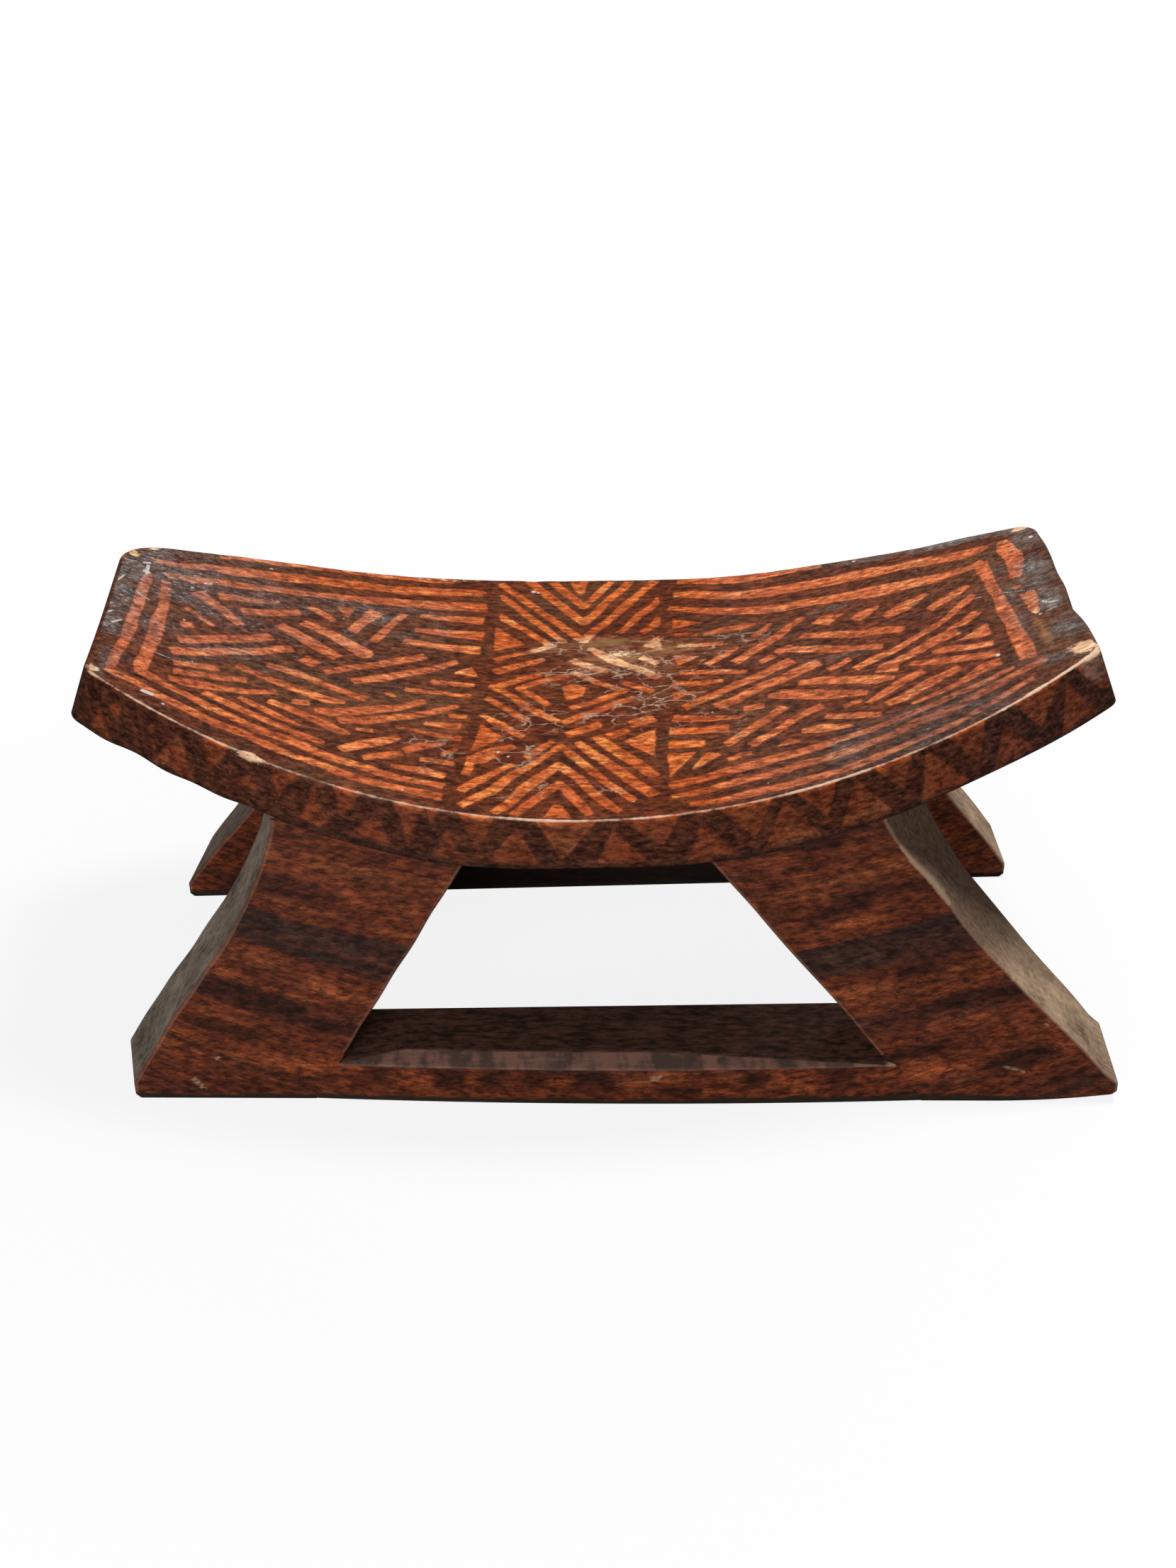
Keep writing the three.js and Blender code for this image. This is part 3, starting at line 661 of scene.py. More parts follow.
# Grey: more towards both ends, most at the left one and behind a slanting line there, except on
# the left part of the back border, which kept its varnish. At the left end the grey is painted
# sheen, which ends at the slanting line and grows towards the back of the left panel
greyed = spotted(grey_spots, s, y)
greyed += ramp(-s, 100, 205) ** 1.5 * (0.12 + 0.2 * ramp(y + 0.15 * (s + 200), -24, -18))
greyed += 0.44 * ramp(-s, 44, 64) * np.clip(0.7 + y / 200, 0.4, 1) + 0.28 * ramp(s, 44, 64)
dull_border = hump(top_s, 140, 50) * ramp(front_y - top_y, -34, -24)
vivid_border = ramp(top_y - back_y, -34, -22) * ramp(top_s, -160, -110) * (top_s < -40)
greyed[on_top] = greyed[on_top] * (1 - 0.75 * vivid_border) + 0.22 * dull_border
greyed[on_top] += 0.75 * hump(top_s, 160, 38) * ramp(top_y - back_y, -6, -4)
greyed[on_rings] = 0.25 * hump(edge_s, 203, 10) + 0.2 * hump(edge_s, 165, 20)

crazed, faded = spotted(crazed_spots, s, y), spotted(faded_spots, s, y)
crazed[on_rings] = 0
faded[on_rings] = 0.8 * hump(edge_s, 201, 6) * hump(edge_below, 6, 8) * (edge_y < 0)

speck = np.full(len(seat_laid), 4.0)
for at_s, at_y, radius in specks:
    speck = np.minimum(speck, np.hypot(s - at_s, y - at_y) - radius)
for line in scuffs:
    speck = np.minimum(speck, reach_of_strip(line, s, y))
speck[on_rings] = 4.0

# Face: 1 on the edge faces and underneath. Low: 1 underneath, where it paints shade, and towards
# the lower arris, less on the end faces and the dull part of the front border
face, low = np.ones(len(seat_laid)), np.ones(len(seat_laid))
face[on_top], low[on_top] = 0, 0.75 * dull_border
face[on_rings] = ramp(edge_below, 1, 2)
on_ends = np.abs(edge_s) > half_arc - 0.9
low[on_rings] = np.maximum(ramp(edge_below - seat_thickness(edge_s), -5, -1), 0.7 * on_ends)

seat = make_piece("seat_slab", seat_places, seat_quads, seat_triangles, burn=burn, arris=arris,
                  rubbed=rubbed, greyed=greyed, crazed=crazed, faded=faded, speck=speck,
                  face=face, low=low)


def new_tree(name):
    """A new material, its node tree and its Principled shader."""
    material = bpy.data.materials.new(name)
    material.use_nodes = True
    return material, material.node_tree, material.node_tree.nodes["Principled BSDF"]


def lead(value, socket):
    """Give a socket its value: another node's output by a link, anything else as it stands, and
    None to leave it alone."""
    if isinstance(value, bpy.types.NodeSocket):
        value.id_data.links.new(value, socket)
    elif value is not None:
        socket.default_value = value


def add(tree, kind, *inputs, output=0, **settings):
    """An output of a new node of a kind, its inputs given in order and its settings by name."""
    node = tree.nodes.new(kind)
    for key, value in settings.items():
        setattr(node, key, value)
    for socket, value in zip(node.inputs, inputs):
        lead(value, socket)
    return node.outputs[output]


def tree_of(*values):
    """The node tree of the first socket among some values."""
    return next(value.id_data for value in values if isinstance(value, bpy.types.NodeSocket))


def maths(operation, *inputs):
    """A Math node in the tree of its inputs."""
    return add(tree_of(*inputs), "ShaderNodeMath", *inputs, operation=operation)


def plus(first, second):
    """The sum of two values."""
    return maths("ADD", first, second)


def times(first, second, added=None):
    """The product of two values, with a third one added to it if given."""
    if added is None:
        return maths("MULTIPLY", first, second)
    return maths("MULTIPLY_ADD", first, second, added)


def blend(share, first, second, how="MIX"):
    """A colour between two by a share, or another way of laying the second over the first."""
    node = tree_of(share, first, second).nodes.new("ShaderNodeMix")
    node.data_type, node.blend_type = "RGBA", how
    for number, value in ((0, share), (6, first), (7, second)):
        lead((*value, 1) if isinstance(value, tuple) else value, node.inputs[number])
    return node.outputs[2]


def fade(value, start, stop, first=0.0, last=1.0):
    """A value led from first to last as it goes from start to stop, held outside."""
    return add(value.id_data, "ShaderNodeMapRange", value, start, stop, first, last)


def stretch(place, scale):
    """A place scaled by its own factor along x, y and z."""
    return add(place.id_data, "ShaderNodeVectorMath", place, scale, operation="MULTIPLY")


def noise(place, scale, detail=2.0, rough=0.5, output=0):
    """Noise with its own number of waves per metre along x, y and z."""
    spread = stretch(place, scale)
    return add(place.id_data, "ShaderNodeTexNoise", spread, None, 1.0, detail, rough, output=output)


def group(name, inputs, outputs):
    """A new node group with named sockets of given kinds: the group, the sockets that bring its
    inputs and the sockets that take its outputs."""
    made = bpy.data.node_groups.new(name, "ShaderNodeTree")
    for way, sockets in (("INPUT", inputs), ("OUTPUT", outputs)):
        for title, kind in sockets.items():
            made.interface.new_socket(title, in_out=way, socket_type="NodeSocket" + kind)
    given, result = made.nodes.new("NodeGroupInput"), made.nodes.new("NodeGroupOutput")
    return made, given.outputs, result.inputs


def use(made, *inputs):
    """The outputs of a node that holds a group, its inputs given in order."""
    node = tree_of(*inputs).nodes.new("ShaderNodeGroup")
    node.node_tree = made
    for socket, value in zip(node.inputs, inputs):
        lead(value, socket)
    return node.outputs


def attributes(tree, *names):
    """The numbers that the mesh carries per vertex, by name."""
    return {name: add(tree, "ShaderNodeAttribute", attribute_name=name, output=2) for name in names}


# The grain of the whole block. Its layers lie in a bowl: they rise to both ends of the stool
# with the square of the distance. Layer is a point's height among them in mm; Streak, Fibre and
# Pore run long along the stool and change quickly across it.
grain, given, result = group("block_grain", {"Place": "Vector"}, {
    "Layer": "Float", "Streak": "Float", "Fibre": "Float", "Pore": "Float"})
layer_bend, layer_tilt, layer_drift = -1.37, 0.027, 20.0
right, deep, high = add(grain, "ShaderNodeSeparateXYZ", given[0]).node.outputs
layered = times(right, layer_tilt, times(times(right, right), layer_bend, high))
bent = add(grain, "ShaderNodeCombineXYZ", right, deep, layered)
drift = noise(bent, (12, 30, 55), 4.0)
lead(times(drift, layer_drift, times(layered, 1000.0, -layer_drift / 2)), result[0])
lead(noise(bent, (11, 120, 300), 4.0, 0.6), result[1])
lead(noise(bent, (110, 360, 560), 5.0, 0.70), result[2])
lead(fade(noise(bent, (170, 1000, 1500), 1.0), 0.61, 0.67), result[3])

# Grit in the surface: short specks along the grain that darken or lighten what they are on
grit, given, result = group("surface_grit", {"Place": "Vector"}, {"Shade": "Color"})
specked = fade(noise(given[0], (190, 430, 430), 3.0, 0.72), 0.38, 0.62)
lead(blend(specked, (0.46, 0.43, 0.43), (1.56, 1.56, 1.54)), result[0])

# Wear along an arris: full at the arris, gone at a width, its border broken up by noise
wear, given, result = group(
    "arris_wear", {"Place": "Vector", "Distance": "Float", "Width": "Float"}, {"Mask": "Float"})
broken = plus(noise(given[0], (260, 420, 420), 3.0, 0.6), noise(given[0], (28, 28, 28), 2.0))
worn_width = times(given[2], fade(broken, 0.75, 1.35, 0.1, 1.9))
lead(fade(maths("SUBTRACT", given[1], worn_width), -0.25, 0.25, 1.0, 0.0), result[0])

# Varnish crazed to a net: the thin seams between cells a few millimetres wide, bent by noise and
# left out in places
crazing, given, result = group("crazed_varnish", {"Place": "Vector"}, {"Net": "Float"})
bend = noise(given[0], (150, 200, 200), 3.0, output=1)
bent = add(crazing, "ShaderNodeVectorMath", bend, (0.9, 0.9, 0.9),
           stretch(given[0], (85, 130, 130)), operation="MULTIPLY_ADD")
seam = add(crazing, "ShaderNodeTexVoronoi", bent, None, 1.0, feature="DISTANCE_TO_EDGE")
whole = fade(noise(given[0], (50, 80, 80), 3.0, 0.6), 0.44, 0.52)
lead(times(fade(seam, 0.02, 0.065, 1.0, 0.0), whole), result[0])

wood, tree, shader = new_tree("burnt_seat_wood")
place = add(tree, "ShaderNodeTexCoord", output=3)
streak, fibre, pore = use(grain, place)[1:]
read = attributes(
    tree, "burn", "arris", "rubbed", "greyed", "crazed", "faded", "speck", "face", "low")
sideways = add(tree, "ShaderNodeSeparateXYZ", place)
mottle = noise(place, (45, 60, 60), 4.0, 0.6)
speckle = noise(place, (300, 520, 520), 4.0, 0.78)
dulled_and_sheen = fade(read["greyed"], 0.05, 0.9)
worn_through = plus(read["faded"], mottle)

# The bare wood: red-brown, golden in its lightest streaks, pinker under grey varnish and painted
# sheen, creamy where the drawing is faded, and browner on the edge faces and underneath, where it
# is also darkened as painted shade
tone = times(streak, 0.35, times(fibre, 0.45, times(speckle, 0.3)))
bare = blend(fade(tone, 0.44, 0.65), (0.32, 0.052, 0.012), (0.64, 0.142, 0.031))
bare = blend(fade(plus(tone, times(mottle, 0.4)), 0.76, 0.98), bare, (0.95, 0.37, 0.085))
bare = blend(times(pore, 0.4), bare, (0.16, 0.028, 0.010))
bare = blend(fade(speckle, 0.58, 0.72, 0.0, 0.5), bare, (0.16, 0.030, 0.012))
# Pinker grey where the grey varnish mask also paints sheen
pinkish = blend(fade(tone, 0.43, 0.66), (0.30, 0.088, 0.050), (0.60, 0.228, 0.128))
bare = blend(times(dulled_and_sheen, 0.95), bare, pinkish)
creamy = blend(fade(tone, 0.40, 0.66), (0.66, 0.26, 0.10), (1.0, 0.66, 0.38))
bare = blend(fade(worn_through, 0.62, 1.05, 0.0, 0.95), bare, creamy)
bare = blend(times(read["face"], 0.45), bare, (0.56, 0.12, 0.03))
# The edge faces and the underside darkened: painted shade
bare = blend(read["face"], bare, (0.42, 0.46, 0.72), "MULTIPLY")

# What the iron darkened: very dark, browner in its light fibres, greyer under grey varnish and
# painted sheen
char = blend(fade(plus(fibre, speckle), 0.84, 1.26), (0.024, 0.007, 0.003), (0.20, 0.042, 0.012))
char = blend(fade(mottle, 0.50, 0.75, 0.0, 0.4), char, (0.11, 0.014, 0.006))
ashen = blend(fade(speckle, 0.4, 0.62), (0.030, 0.021, 0.016), (0.125, 0.066, 0.045))
char = blend(times(dulled_and_sheen, 0.75), char, ashen)
clouds = fade(noise(place, (14, 20, 20), 2.0), 0.46, 0.66, 0.0, 0.35)
clouds = times(clouds, maths("SUBTRACT", 1.0, read["face"]))
char = blend(clouds, char, (0.095, 0.062, 0.030))
char = blend(read["face"], char, (0.86, 1.18, 1.85), "MULTIPLY")
char = blend(fade(worn_through, 0.7, 1.2, 0.0, 0.5), char, (0.27, 0.088, 0.032))

# The drawing, its borders frayed along the fibres, then darker towards the lower arris and painted
# shade underneath
frayed = plus(read["burn"], times(speckle, 3.0, times(fibre, 1.8, -2.75)))
evenness = fade(plus(mottle, times(fibre, 0.5)), 0.55, 0.85, 0.85, 1.0)
drawn = times(fade(frayed, -0.35, 0.35), evenness)
aged = blend(drawn, bare, char)
# Painted shade under the slab, darker wood towards the lower arris and on the dull border
aged = blend(times(read["low"], 0.6), aged, (0.026, 0.017, 0.013))

# Grey varnish, at the left end painted sheen: dirt in it, greener to the right, and pale flecks,
# more of them to the left, painted glints among fine scratches
grey_and_sheen_share = times(read["greyed"], fade(plus(speckle, mottle), 0.72, 1.2))
# Grey of the varnish with dirt in it, painted sheen at the left end
dust_and_sheen = blend(fade(sideways, -0.05, 0.05), (0.112, 0.080, 0.068), (0.098, 0.078, 0.045))
dust_and_sheen = blend(fade(speckle, 0.36, 0.62), (0.40, 0.38, 0.38), dust_and_sheen, "MULTIPLY")
aged = blend(fade(grey_and_sheen_share, 0.2, 0.95, 0.0, 0.8), aged, dust_and_sheen)
# Pale flecks: fine scratches and painted glints
fleck_and_glint = fade(noise(place, (480, 700, 700), 2.0), 0.58, 0.66)
fleck_and_glint_share = times(fade(grey_and_sheen_share, 0.2, 0.6, 0.0, 0.75), fade(sideways, -0.05, 0.05, 1.0, 0.4))
aged = blend(times(fleck_and_glint, fleck_and_glint_share), aged, (0.42, 0.36, 0.33))
aged = blend(1.0, aged, use(grit, place)[0], "MULTIPLY")

# Wear: wood worn through, dark stain and the pale net where the varnish crazed, rubbed wood,
# the pale upper arris, specks and scuffs
worn_fibre = blend(fibre, (0.06, 0.036, 0.014), (0.52, 0.33, 0.12))
aged = blend(fade(times(fibre, 2.2, worn_through), 2.20, 2.65, 0.0, 0.6), aged, worn_fibre)
crazed_share = plus(read["crazed"], mottle)
aged = blend(fade(crazed_share, 1.05, 1.5, 0.0, 0.42), aged, (0.12, 0.014, 0.012))
net = times(use(crazing, place)[0], fade(crazed_share, 0.70, 1.0))
pale_line = blend(fade(speckle, 0.38, 0.6), (0.17, 0.105, 0.070), (0.68, 0.42, 0.28))
aged = blend(times(net, 0.75), aged, pale_line)
rubbed_share = fade(plus(read["rubbed"], plus(fibre, speckle)), 1.32, 1.52)
rubbed_wood = blend(fade(fibre, 0.36, 0.64), (0.42, 0.13, 0.045), (0.98, 0.72, 0.44))
aged = blend(rubbed_share, aged, rubbed_wood)
arris_share = use(wear, place, read["arris"], 0.36)[0]
aged = blend(times(arris_share, 0.95), aged, (0.78, 0.53, 0.38))
specked = fade(times(speckle, 0.8, read["speck"]), 0.1, 0.6, 0.85, 0.0)
lead(blend(specked, aged, (0.72, 0.66, 0.61)), shader.inputs["Base Color"])

shader.inputs["Specular IOR Level"].default_value = 0.17
dry = times(dulled_and_sheen, fade(sideways, -0.05, 0.05, 0.0, 0.4))
worn_matt = times(fibre, 0.2, fade(rubbed_share, 0.0, 1.0, 0.32, 0.6))
lead(plus(dry, worn_matt), shader.inputs["Roughness"])
relief = times(net, -0.5, plus(fibre, times(drawn, -0.7)))
relief_strength, relief_depth = 0.5, 0.0003
bump = add(tree, "ShaderNodeBump", relief_strength, relief_depth, None, relief)
lead(bump, shader.inputs["Normal"])
seat.data.materials.append(wood)
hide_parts("seat")
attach(seat, "root")


# The four legs

# Pairs of broad splayed uprights, one pair flush with each long edge of the seat, left standing
# when the block between them was cut away. Their outer edges curve in above the foot, and their
# faces show the streaks of the block from end to end.

# Sizes in mm. A frame is a pair of legs, -1 the front one and 1 the back one: its thickness at
# the foot and how its faces spread towards the right, per mm. Of a leg, foot and top are how far
# its outer edge reaches from the middle, and the twists how much further it does on its inner
# side. Fuller is what its front arris stands out by at 100 mm above the floor.
base_inset = 8.0
runner_height = 22.0
toe_height = 7.0
toe_lift = 4.5
leg_hollow = 6.5
leg_let_in = 1.5
hand_waves = 0.9
foot_depth = middle_depth / 2 - base_inset
frames = {
    -1: dict(row=-1, thickness=35.0, outer_spread=0.015, inner_spread=-0.01, top_reach=122.0),
    1: dict(row=1, thickness=41.0, outer_spread=0.015, inner_spread=0.03, top_reach=106.0),
}
legs = {
    "front_left_leg": dict(
        row=-1, side=-1, foot=192.0, top=122.0, foot_width=76.5, top_width=85.0,
        foot_twist=8.5, top_twist=5.0, fuller=0.0),
    "front_right_leg": dict(
        row=-1, side=1, foot=221.0, top=115.0, foot_width=81.5, top_width=82.0,
        foot_twist=2.0, top_twist=18.0, fuller=3.5),
    "back_left_leg": dict(
        row=1, side=-1, foot=194.5, top=106.0, foot_width=77.5, top_width=70.0,
        foot_twist=4.0, top_twist=-1.0, fuller=0.0),
    "back_right_leg": dict(
        row=1, side=1, foot=208.5, top=118.0, foot_width=74.0, top_width=76.0,
        foot_twist=0.0, top_twist=2.0, fuller=0.0),
}


def underside(x):
    """Height of the slab's underside over a place x, counted before the sideways shift: the
    point of the lower curve above x, leaned with the seat."""
    s = dish_radius * np.arcsin(x / (dish_radius + middle_thickness))
    return seat_point(s, seat_thickness(s), 0 * s)[..., 2]


def outer_face(frame, x, z):
    """Depth of a frame's outer face: it leans in evenly from the foot to come flush with the
    seat's edge."""
    foot = foot_depth + frame["outer_spread"] * x
    top = seat_half_depth(frame["row"], frame["top_reach"])
    return foot + (top - foot) * z / underside(-frame["top_reach"])


def inner_face(frame, x):
    """Depth of a frame's inner face, which stands upright."""
    return foot_depth - frame["thickness"] + frame["inner_spread"] * x


def leg_edges(leg, z):
    """Reach of a leg's outer and inner edge from the middle at a height, and how much further
    out the outer edge lies on the inner side: straight lines from foot to seat, the outer one
    hollowed by a cubic that is deepest two thirds of the way up, and its front arris fuller."""
    rise = underside(leg["side"] * leg["top"])
    share = np.maximum(z - toe_height, 0) / (rise - toe_height)
    hollow = 27 / 4 * leg_hollow * share ** 2 * (1 - share)
    fuller = leg["fuller"] * hump(z, 100, 16)
    outer = leg["foot"] + (leg["top"] - leg["foot"]) * share - hollow + fuller
    foot_inner, top_inner = leg["foot"] - leg["foot_width"], leg["top"] - leg["top_width"]
    inner = foot_inner + (top_inner - foot_inner) * z / rise
    twist = leg["foot_twist"] + (leg["top_twist"] - leg["foot_twist"]) * share - fuller
    return outer, inner, twist


def eased_outline(corners, eases, counts):
    """Points round a closed outline whose corners are cut to curves. corners is steps by corners
    by axes, eases steps by corners; each side gets its count of points, each corner three more
    on a curve from side to side. The points of a side crowd towards its ends by a sine. Also
    gives each point's distance to a corner that is eased by more than 0.1 mm."""
    points, away = [], []
    crowding = 0.14
    hidden = 20.0 * (eases < 0.1)
    for number, size in enumerate(counts):
        after = (number + 1) % len(counts)
        here, ease = corners[:, number], eases[:, number, None]
        back, on = corners[:, number - 1] - here, corners[:, after] - here
        back = back / np.linalg.norm(back, axis=1, keepdims=True)
        on = on / np.linalg.norm(on, axis=1, keepdims=True)
        for t in (0.0, 0.35, 0.65):
            points.append(here + ease * (back * (1 - t) ** 2 + on * t ** 2))
            away.append(hidden[:, number])
        start, stop = here + ease * on, corners[:, after] - eases[:, after, None] * on
        length = np.linalg.norm(stop - start, axis=1)
        for t in np.linspace(0, 1, size, endpoint=False):
            t = t - crowding * math.sin(2 * math.pi * t)
            points.append(start + (stop - start) * t)
            to_corners = t * length + hidden[:, number], (1 - t) * length + hidden[:, after]
            away.append(np.minimum(*to_corners))
    return np.stack(points, axis=1), np.stack(away, axis=1)


def loft(outline):
    """A closed outline at several steps as the places of a mesh, the middles of its first and
    last step added, its vertex numbers with the first of each step repeated at the end, and
    triangles that close both ends."""
    steps, around = outline.shape[:2]
    index = np.arange(steps * around).reshape(steps, around)
    closed = np.hstack([index, index[:, :1]])
    places = np.concatenate([outline.reshape(-1, 3), outline[[0, -1]].mean(axis=1)])
    first, last = np.full(around, steps * around), np.full(around, steps * around + 1)
    fans = [np.stack([closed[0, 1:], closed[0, :-1], first], axis=-1),
            np.stack([closed[-1, :-1], closed[-1, 1:], last], axis=-1)]
    return places, closed, np.concatenate(fans)


def uneven(places):
    """Hand-cut unevenness: three crossing waves of a few centimetres, as a shift in mm."""
    x, y, z = places.T
    waves = np.sin(x / 13.1 + z / 21.0) * np.sin(y / 9.7 + 1.3) + np.sin(z / 11.3 - x / 29.0 + 0.7)
    return hand_waves * (waves + 0.6 * np.sin(x / 6.1 + y / 4.3 + z / 7.9)) / 2.6


def leg_section(leg, z):
    """The four corners of a leg's level section at heights z, in mm before the shift, running
    against the clock seen from above, and how far each is eased."""
    frame, side, row = frames[leg["row"]], leg["side"], leg["row"]
    outer, inner, twist = leg_edges(leg, z)
    toe = outer - np.maximum(1.5 - z, 0)
    far, near = side * (toe + twist), side * inner
    corners = np.stack([
        np.stack([side * toe, row * outer_face(frame, side * toe, z)], axis=-1),
        np.stack([far, row * inner_face(frame, far)], axis=-1),
        np.stack([near, row * inner_face(frame, near)], axis=-1),
        np.stack([near, row * outer_face(frame, near, z)], axis=-1),
    ], axis=1)
    over_runner = np.clip(z - runner_height, 0.02, 1.6)
    eases = np.stack([0 * z + 1.2, 0 * z + 1.6, over_runner, over_runner], axis=1)
    if side * row > 0:
        corners, eases = corners[:, ::-1], eases[:, ::-1]
    return corners, eases


# Darker and lighter marks on the front faces of the legs and the front runner, and the scratches
# there: lines of points x and z with their width, all in mm
dark_marks = [
    [(-162, 60, 8), (-140, 52, 9), (-118, 44, 6)], [(-166, 41, 3), (-152, 36, 4), (-138, 31, 2)],
    [(-126, 51, 4), (-131, 49, 4)], [(-112, 38, 3), (-92, 33, 3)], [(-128, 104, 3), (-100, 97, 2)],
    [(136, 105, 2), (118, 101, 4), (98, 97, 2)], [(112, 97, 2), (100, 92, 4), (88, 87, 3)],
    [(88, 125, 6), (98, 121, 5)], [(182, 56, 3), (165, 53, 5), (150, 50, 6), (134, 40, 3)],
    [(192, 26, 3), (180, 22, 7), (168, 17, 4)], [(150, 28, 3), (134, 24, 4), (118, 20, 2)],
    [(140, 68, 5), (126, 62, 4)], [(206, 14, 3), (192, 10, 4)],
    [(-58.5, 9, 12), (-58.5, 16.5, 12)], [(-40.5, 9, 9), (-40.5, 16.5, 9)],
    [(-23.5, 9, 8), (-23.5, 16.5, 8)], [(1.5, 9, 13), (1.5, 16.5, 13)],
    [(69, 9, 6), (69, 16.5, 6)], [(105, 9, 10), (105, 16.5, 10)], [(-88, 10, 5), (-88, 16, 4)],
    [(30, 7, 6), (46, 6, 5)],
]
light_marks = [
    [(-126, 118, 4), (-112, 112, 5), (-96, 106, 3)], [(-96, 101, 4), (-84, 97, 4)],
    [(-116, 60, 4), (-104, 55, 6), (-90, 50, 4)], [(-152, 69, 3), (-139, 60, 3)],
    [(-121, 83, 2), (-102, 77, 3), (-85, 70, 2)], [(-150, 22, 6), (-120, 18, 7), (-96, 18, 4)],
    [(118, 72, 3), (111, 72, 4)], [(99, 71, 4), (94, 69, 3)], [(109, 67, 3), (101, 65, 3)],
    [(112, 89, 3), (95, 83, 5)], [(121, 57, 3), (105, 50, 6)],
    [(166, 43, 4), (153, 40, 6), (138, 36, 5)], [(200, 26, 4), (190, 32, 4)],
    [(132, 14, 8), (158, 14, 7)], [(-78, 12, 6), (-68, 10, 6)], [(16, 12, 6), (40, 13, 5)],
    [(80, 11, 6), (92, 10, 6)],
]
scratches = [
    [(-166.5, 10, 2.0), (-162, 4.5, 0.9)],
    [(122.0, 121, 0.3), (126.7, 115, 1.0), (132.9, 108, 1.5), (138.9, 101, 1.6), (143.4, 95, 0.5)],
    [(172, 17.5, 0.5), (181, 15, 0.5)], [(25.5, 12, 0.3), (30, 14.5, 0.3)],
    [(26, 14.5, 0.3), (29.5, 12, 0.3)], [(-117, 50.5, 1), (-117, 49.5, 1)],
    [(-110, 93.5, 1), (-110, 92.5, 1)], [(-155, 21.5, 1), (-155, 20.5, 1)],
    [(188, 38.5, 1), (188, 37.5, 1)], [(172, 60.5, 1), (172, 59.5, 1)],
    [(124, 18.4, 1.2), (127, 17.6, 1.2)],
]


def stained(places, row):
    """How dark (above 0) or light (below 0) each place of a front piece is marked, with soft
    borders of 7 mm, and its distance to a scratch."""
    x, z = places[:, 0] - middle_shift, places[:, 2]
    stain, scratch = 0 * x, 0 * x + 5.0
    if row < 0:
        for marks, sign in ((dark_marks, 1), (light_marks, -1)):
            for line in marks:
                stain = stain + sign * ramp(-reach_of_strip(line, x, z), -3.5, 3.5)
        for line in scratches:
            scratch = np.minimum(scratch, reach_of_strip(line, x, z))
    return dict(stain=np.clip(stain, -1, 1), scratch=scratch)


def closed_sides(leg, counts):
    """Which points of a leg's outline lie on its outer side: 1 between the two corners there."""
    marks = []
    for number, size in enumerate(counts):
        outer = float(number == (0 if leg["side"] * leg["row"] < 0 else 2))
        marks += [0.0, 0.5 * outer, outer] + [outer] * size
    return np.array(marks)


def read_at(heights, levels, values):
    """Values given per level and upright line, read off at other heights of each line."""
    lines = [np.interp(up, levels, given) for up, given in zip(heights.T, values.T)]
    return np.stack(lines, axis=1)


def make_leg(name, leg):
    """A leg as a loft of eased level sections. The heights of each upright line share out the
    way from the floor to just inside the seat's underside over that line, which is found by
    trying a height again and again until it settles."""
    row, side = leg["row"], leg["side"]
    counts = [20, 60, 20, 60]
    levels = np.concatenate([[0, 0.7, 1.5], np.linspace(3, 132, 98)])
    outline, away = eased_outline(*leg_section(leg, levels), counts)
    top = np.full((1, outline.shape[1]), 130.0)
    for _ in range(8):
        top = underside(read_at(top, levels, outline[..., 0])) + leg_let_in
    heights = (levels / levels[-1])[:, None] * top
    laid = (*outline.transpose(2, 0, 1), away)
    x, y, away = (read_at(heights, levels, values) for values in laid)
    places, closed, caps = loft(np.stack([x + middle_shift, y, heights], axis=-1))
    z = places[:, 2]
    places[:, 0] += ramp(z, 14, 28) * ramp(-z, -104, -92) * uneven(places)
    if row < 0:
        z += toe_lift * ramp(places[:, 0], 165, 220) ** 2 * ramp(-z, -14, 0)
    outer = np.append(np.tile(closed_sides(leg, counts), len(levels)), [0, 0])
    # Painted shadow of the seat on the upper outer side of the front right leg
    sooty = 0.45 * outer * ramp(z, 52, 76) * (row < 0 < side)
    marks = stained(places, row)
    # Painted light: the back right leg's front made lighter all over
    if row > 0 and side > 0:
        marks["stain"] -= 0.8
    # The right legs' outer sides get the painted-light colour
    return make_piece(name, places, quads_of(closed.T), caps, side=outer, tan=0 * z + (side > 0),
                      arris=np.append(away.ravel(), [20, 20]), sooty=sooty, bevel=0 * z,
                      height=z, **marks)


frame_wood, tree, shader = new_tree("dark_streaked_wood")
place = add(tree, "ShaderNodeTexCoord", output=3)
layer, streak, fibre, pore = use(grain, place)
read = attributes(tree, "arris", "side", "tan", "sooty", "bevel", "height", "stain", "scratch")
mottle = noise(place, (40, 60, 60), 4.0, 0.6)
speckle = noise(place, (90, 480, 480), 4.0, 0.75)
tone = times(mottle, 0.25, plus(times(streak, 0.3), times(fibre, 0.55)))
red = blend(fade(tone, 0.45, 0.64), (0.090, 0.018, 0.0074), (0.225, 0.046, 0.0140))
red = blend(fade(tone, 0.60, 0.76), red, (0.38, 0.105, 0.028))
red = blend(fade(speckle, 0.44, 0.64, 0.0, 0.4), red, (0.064, 0.023, 0.012))

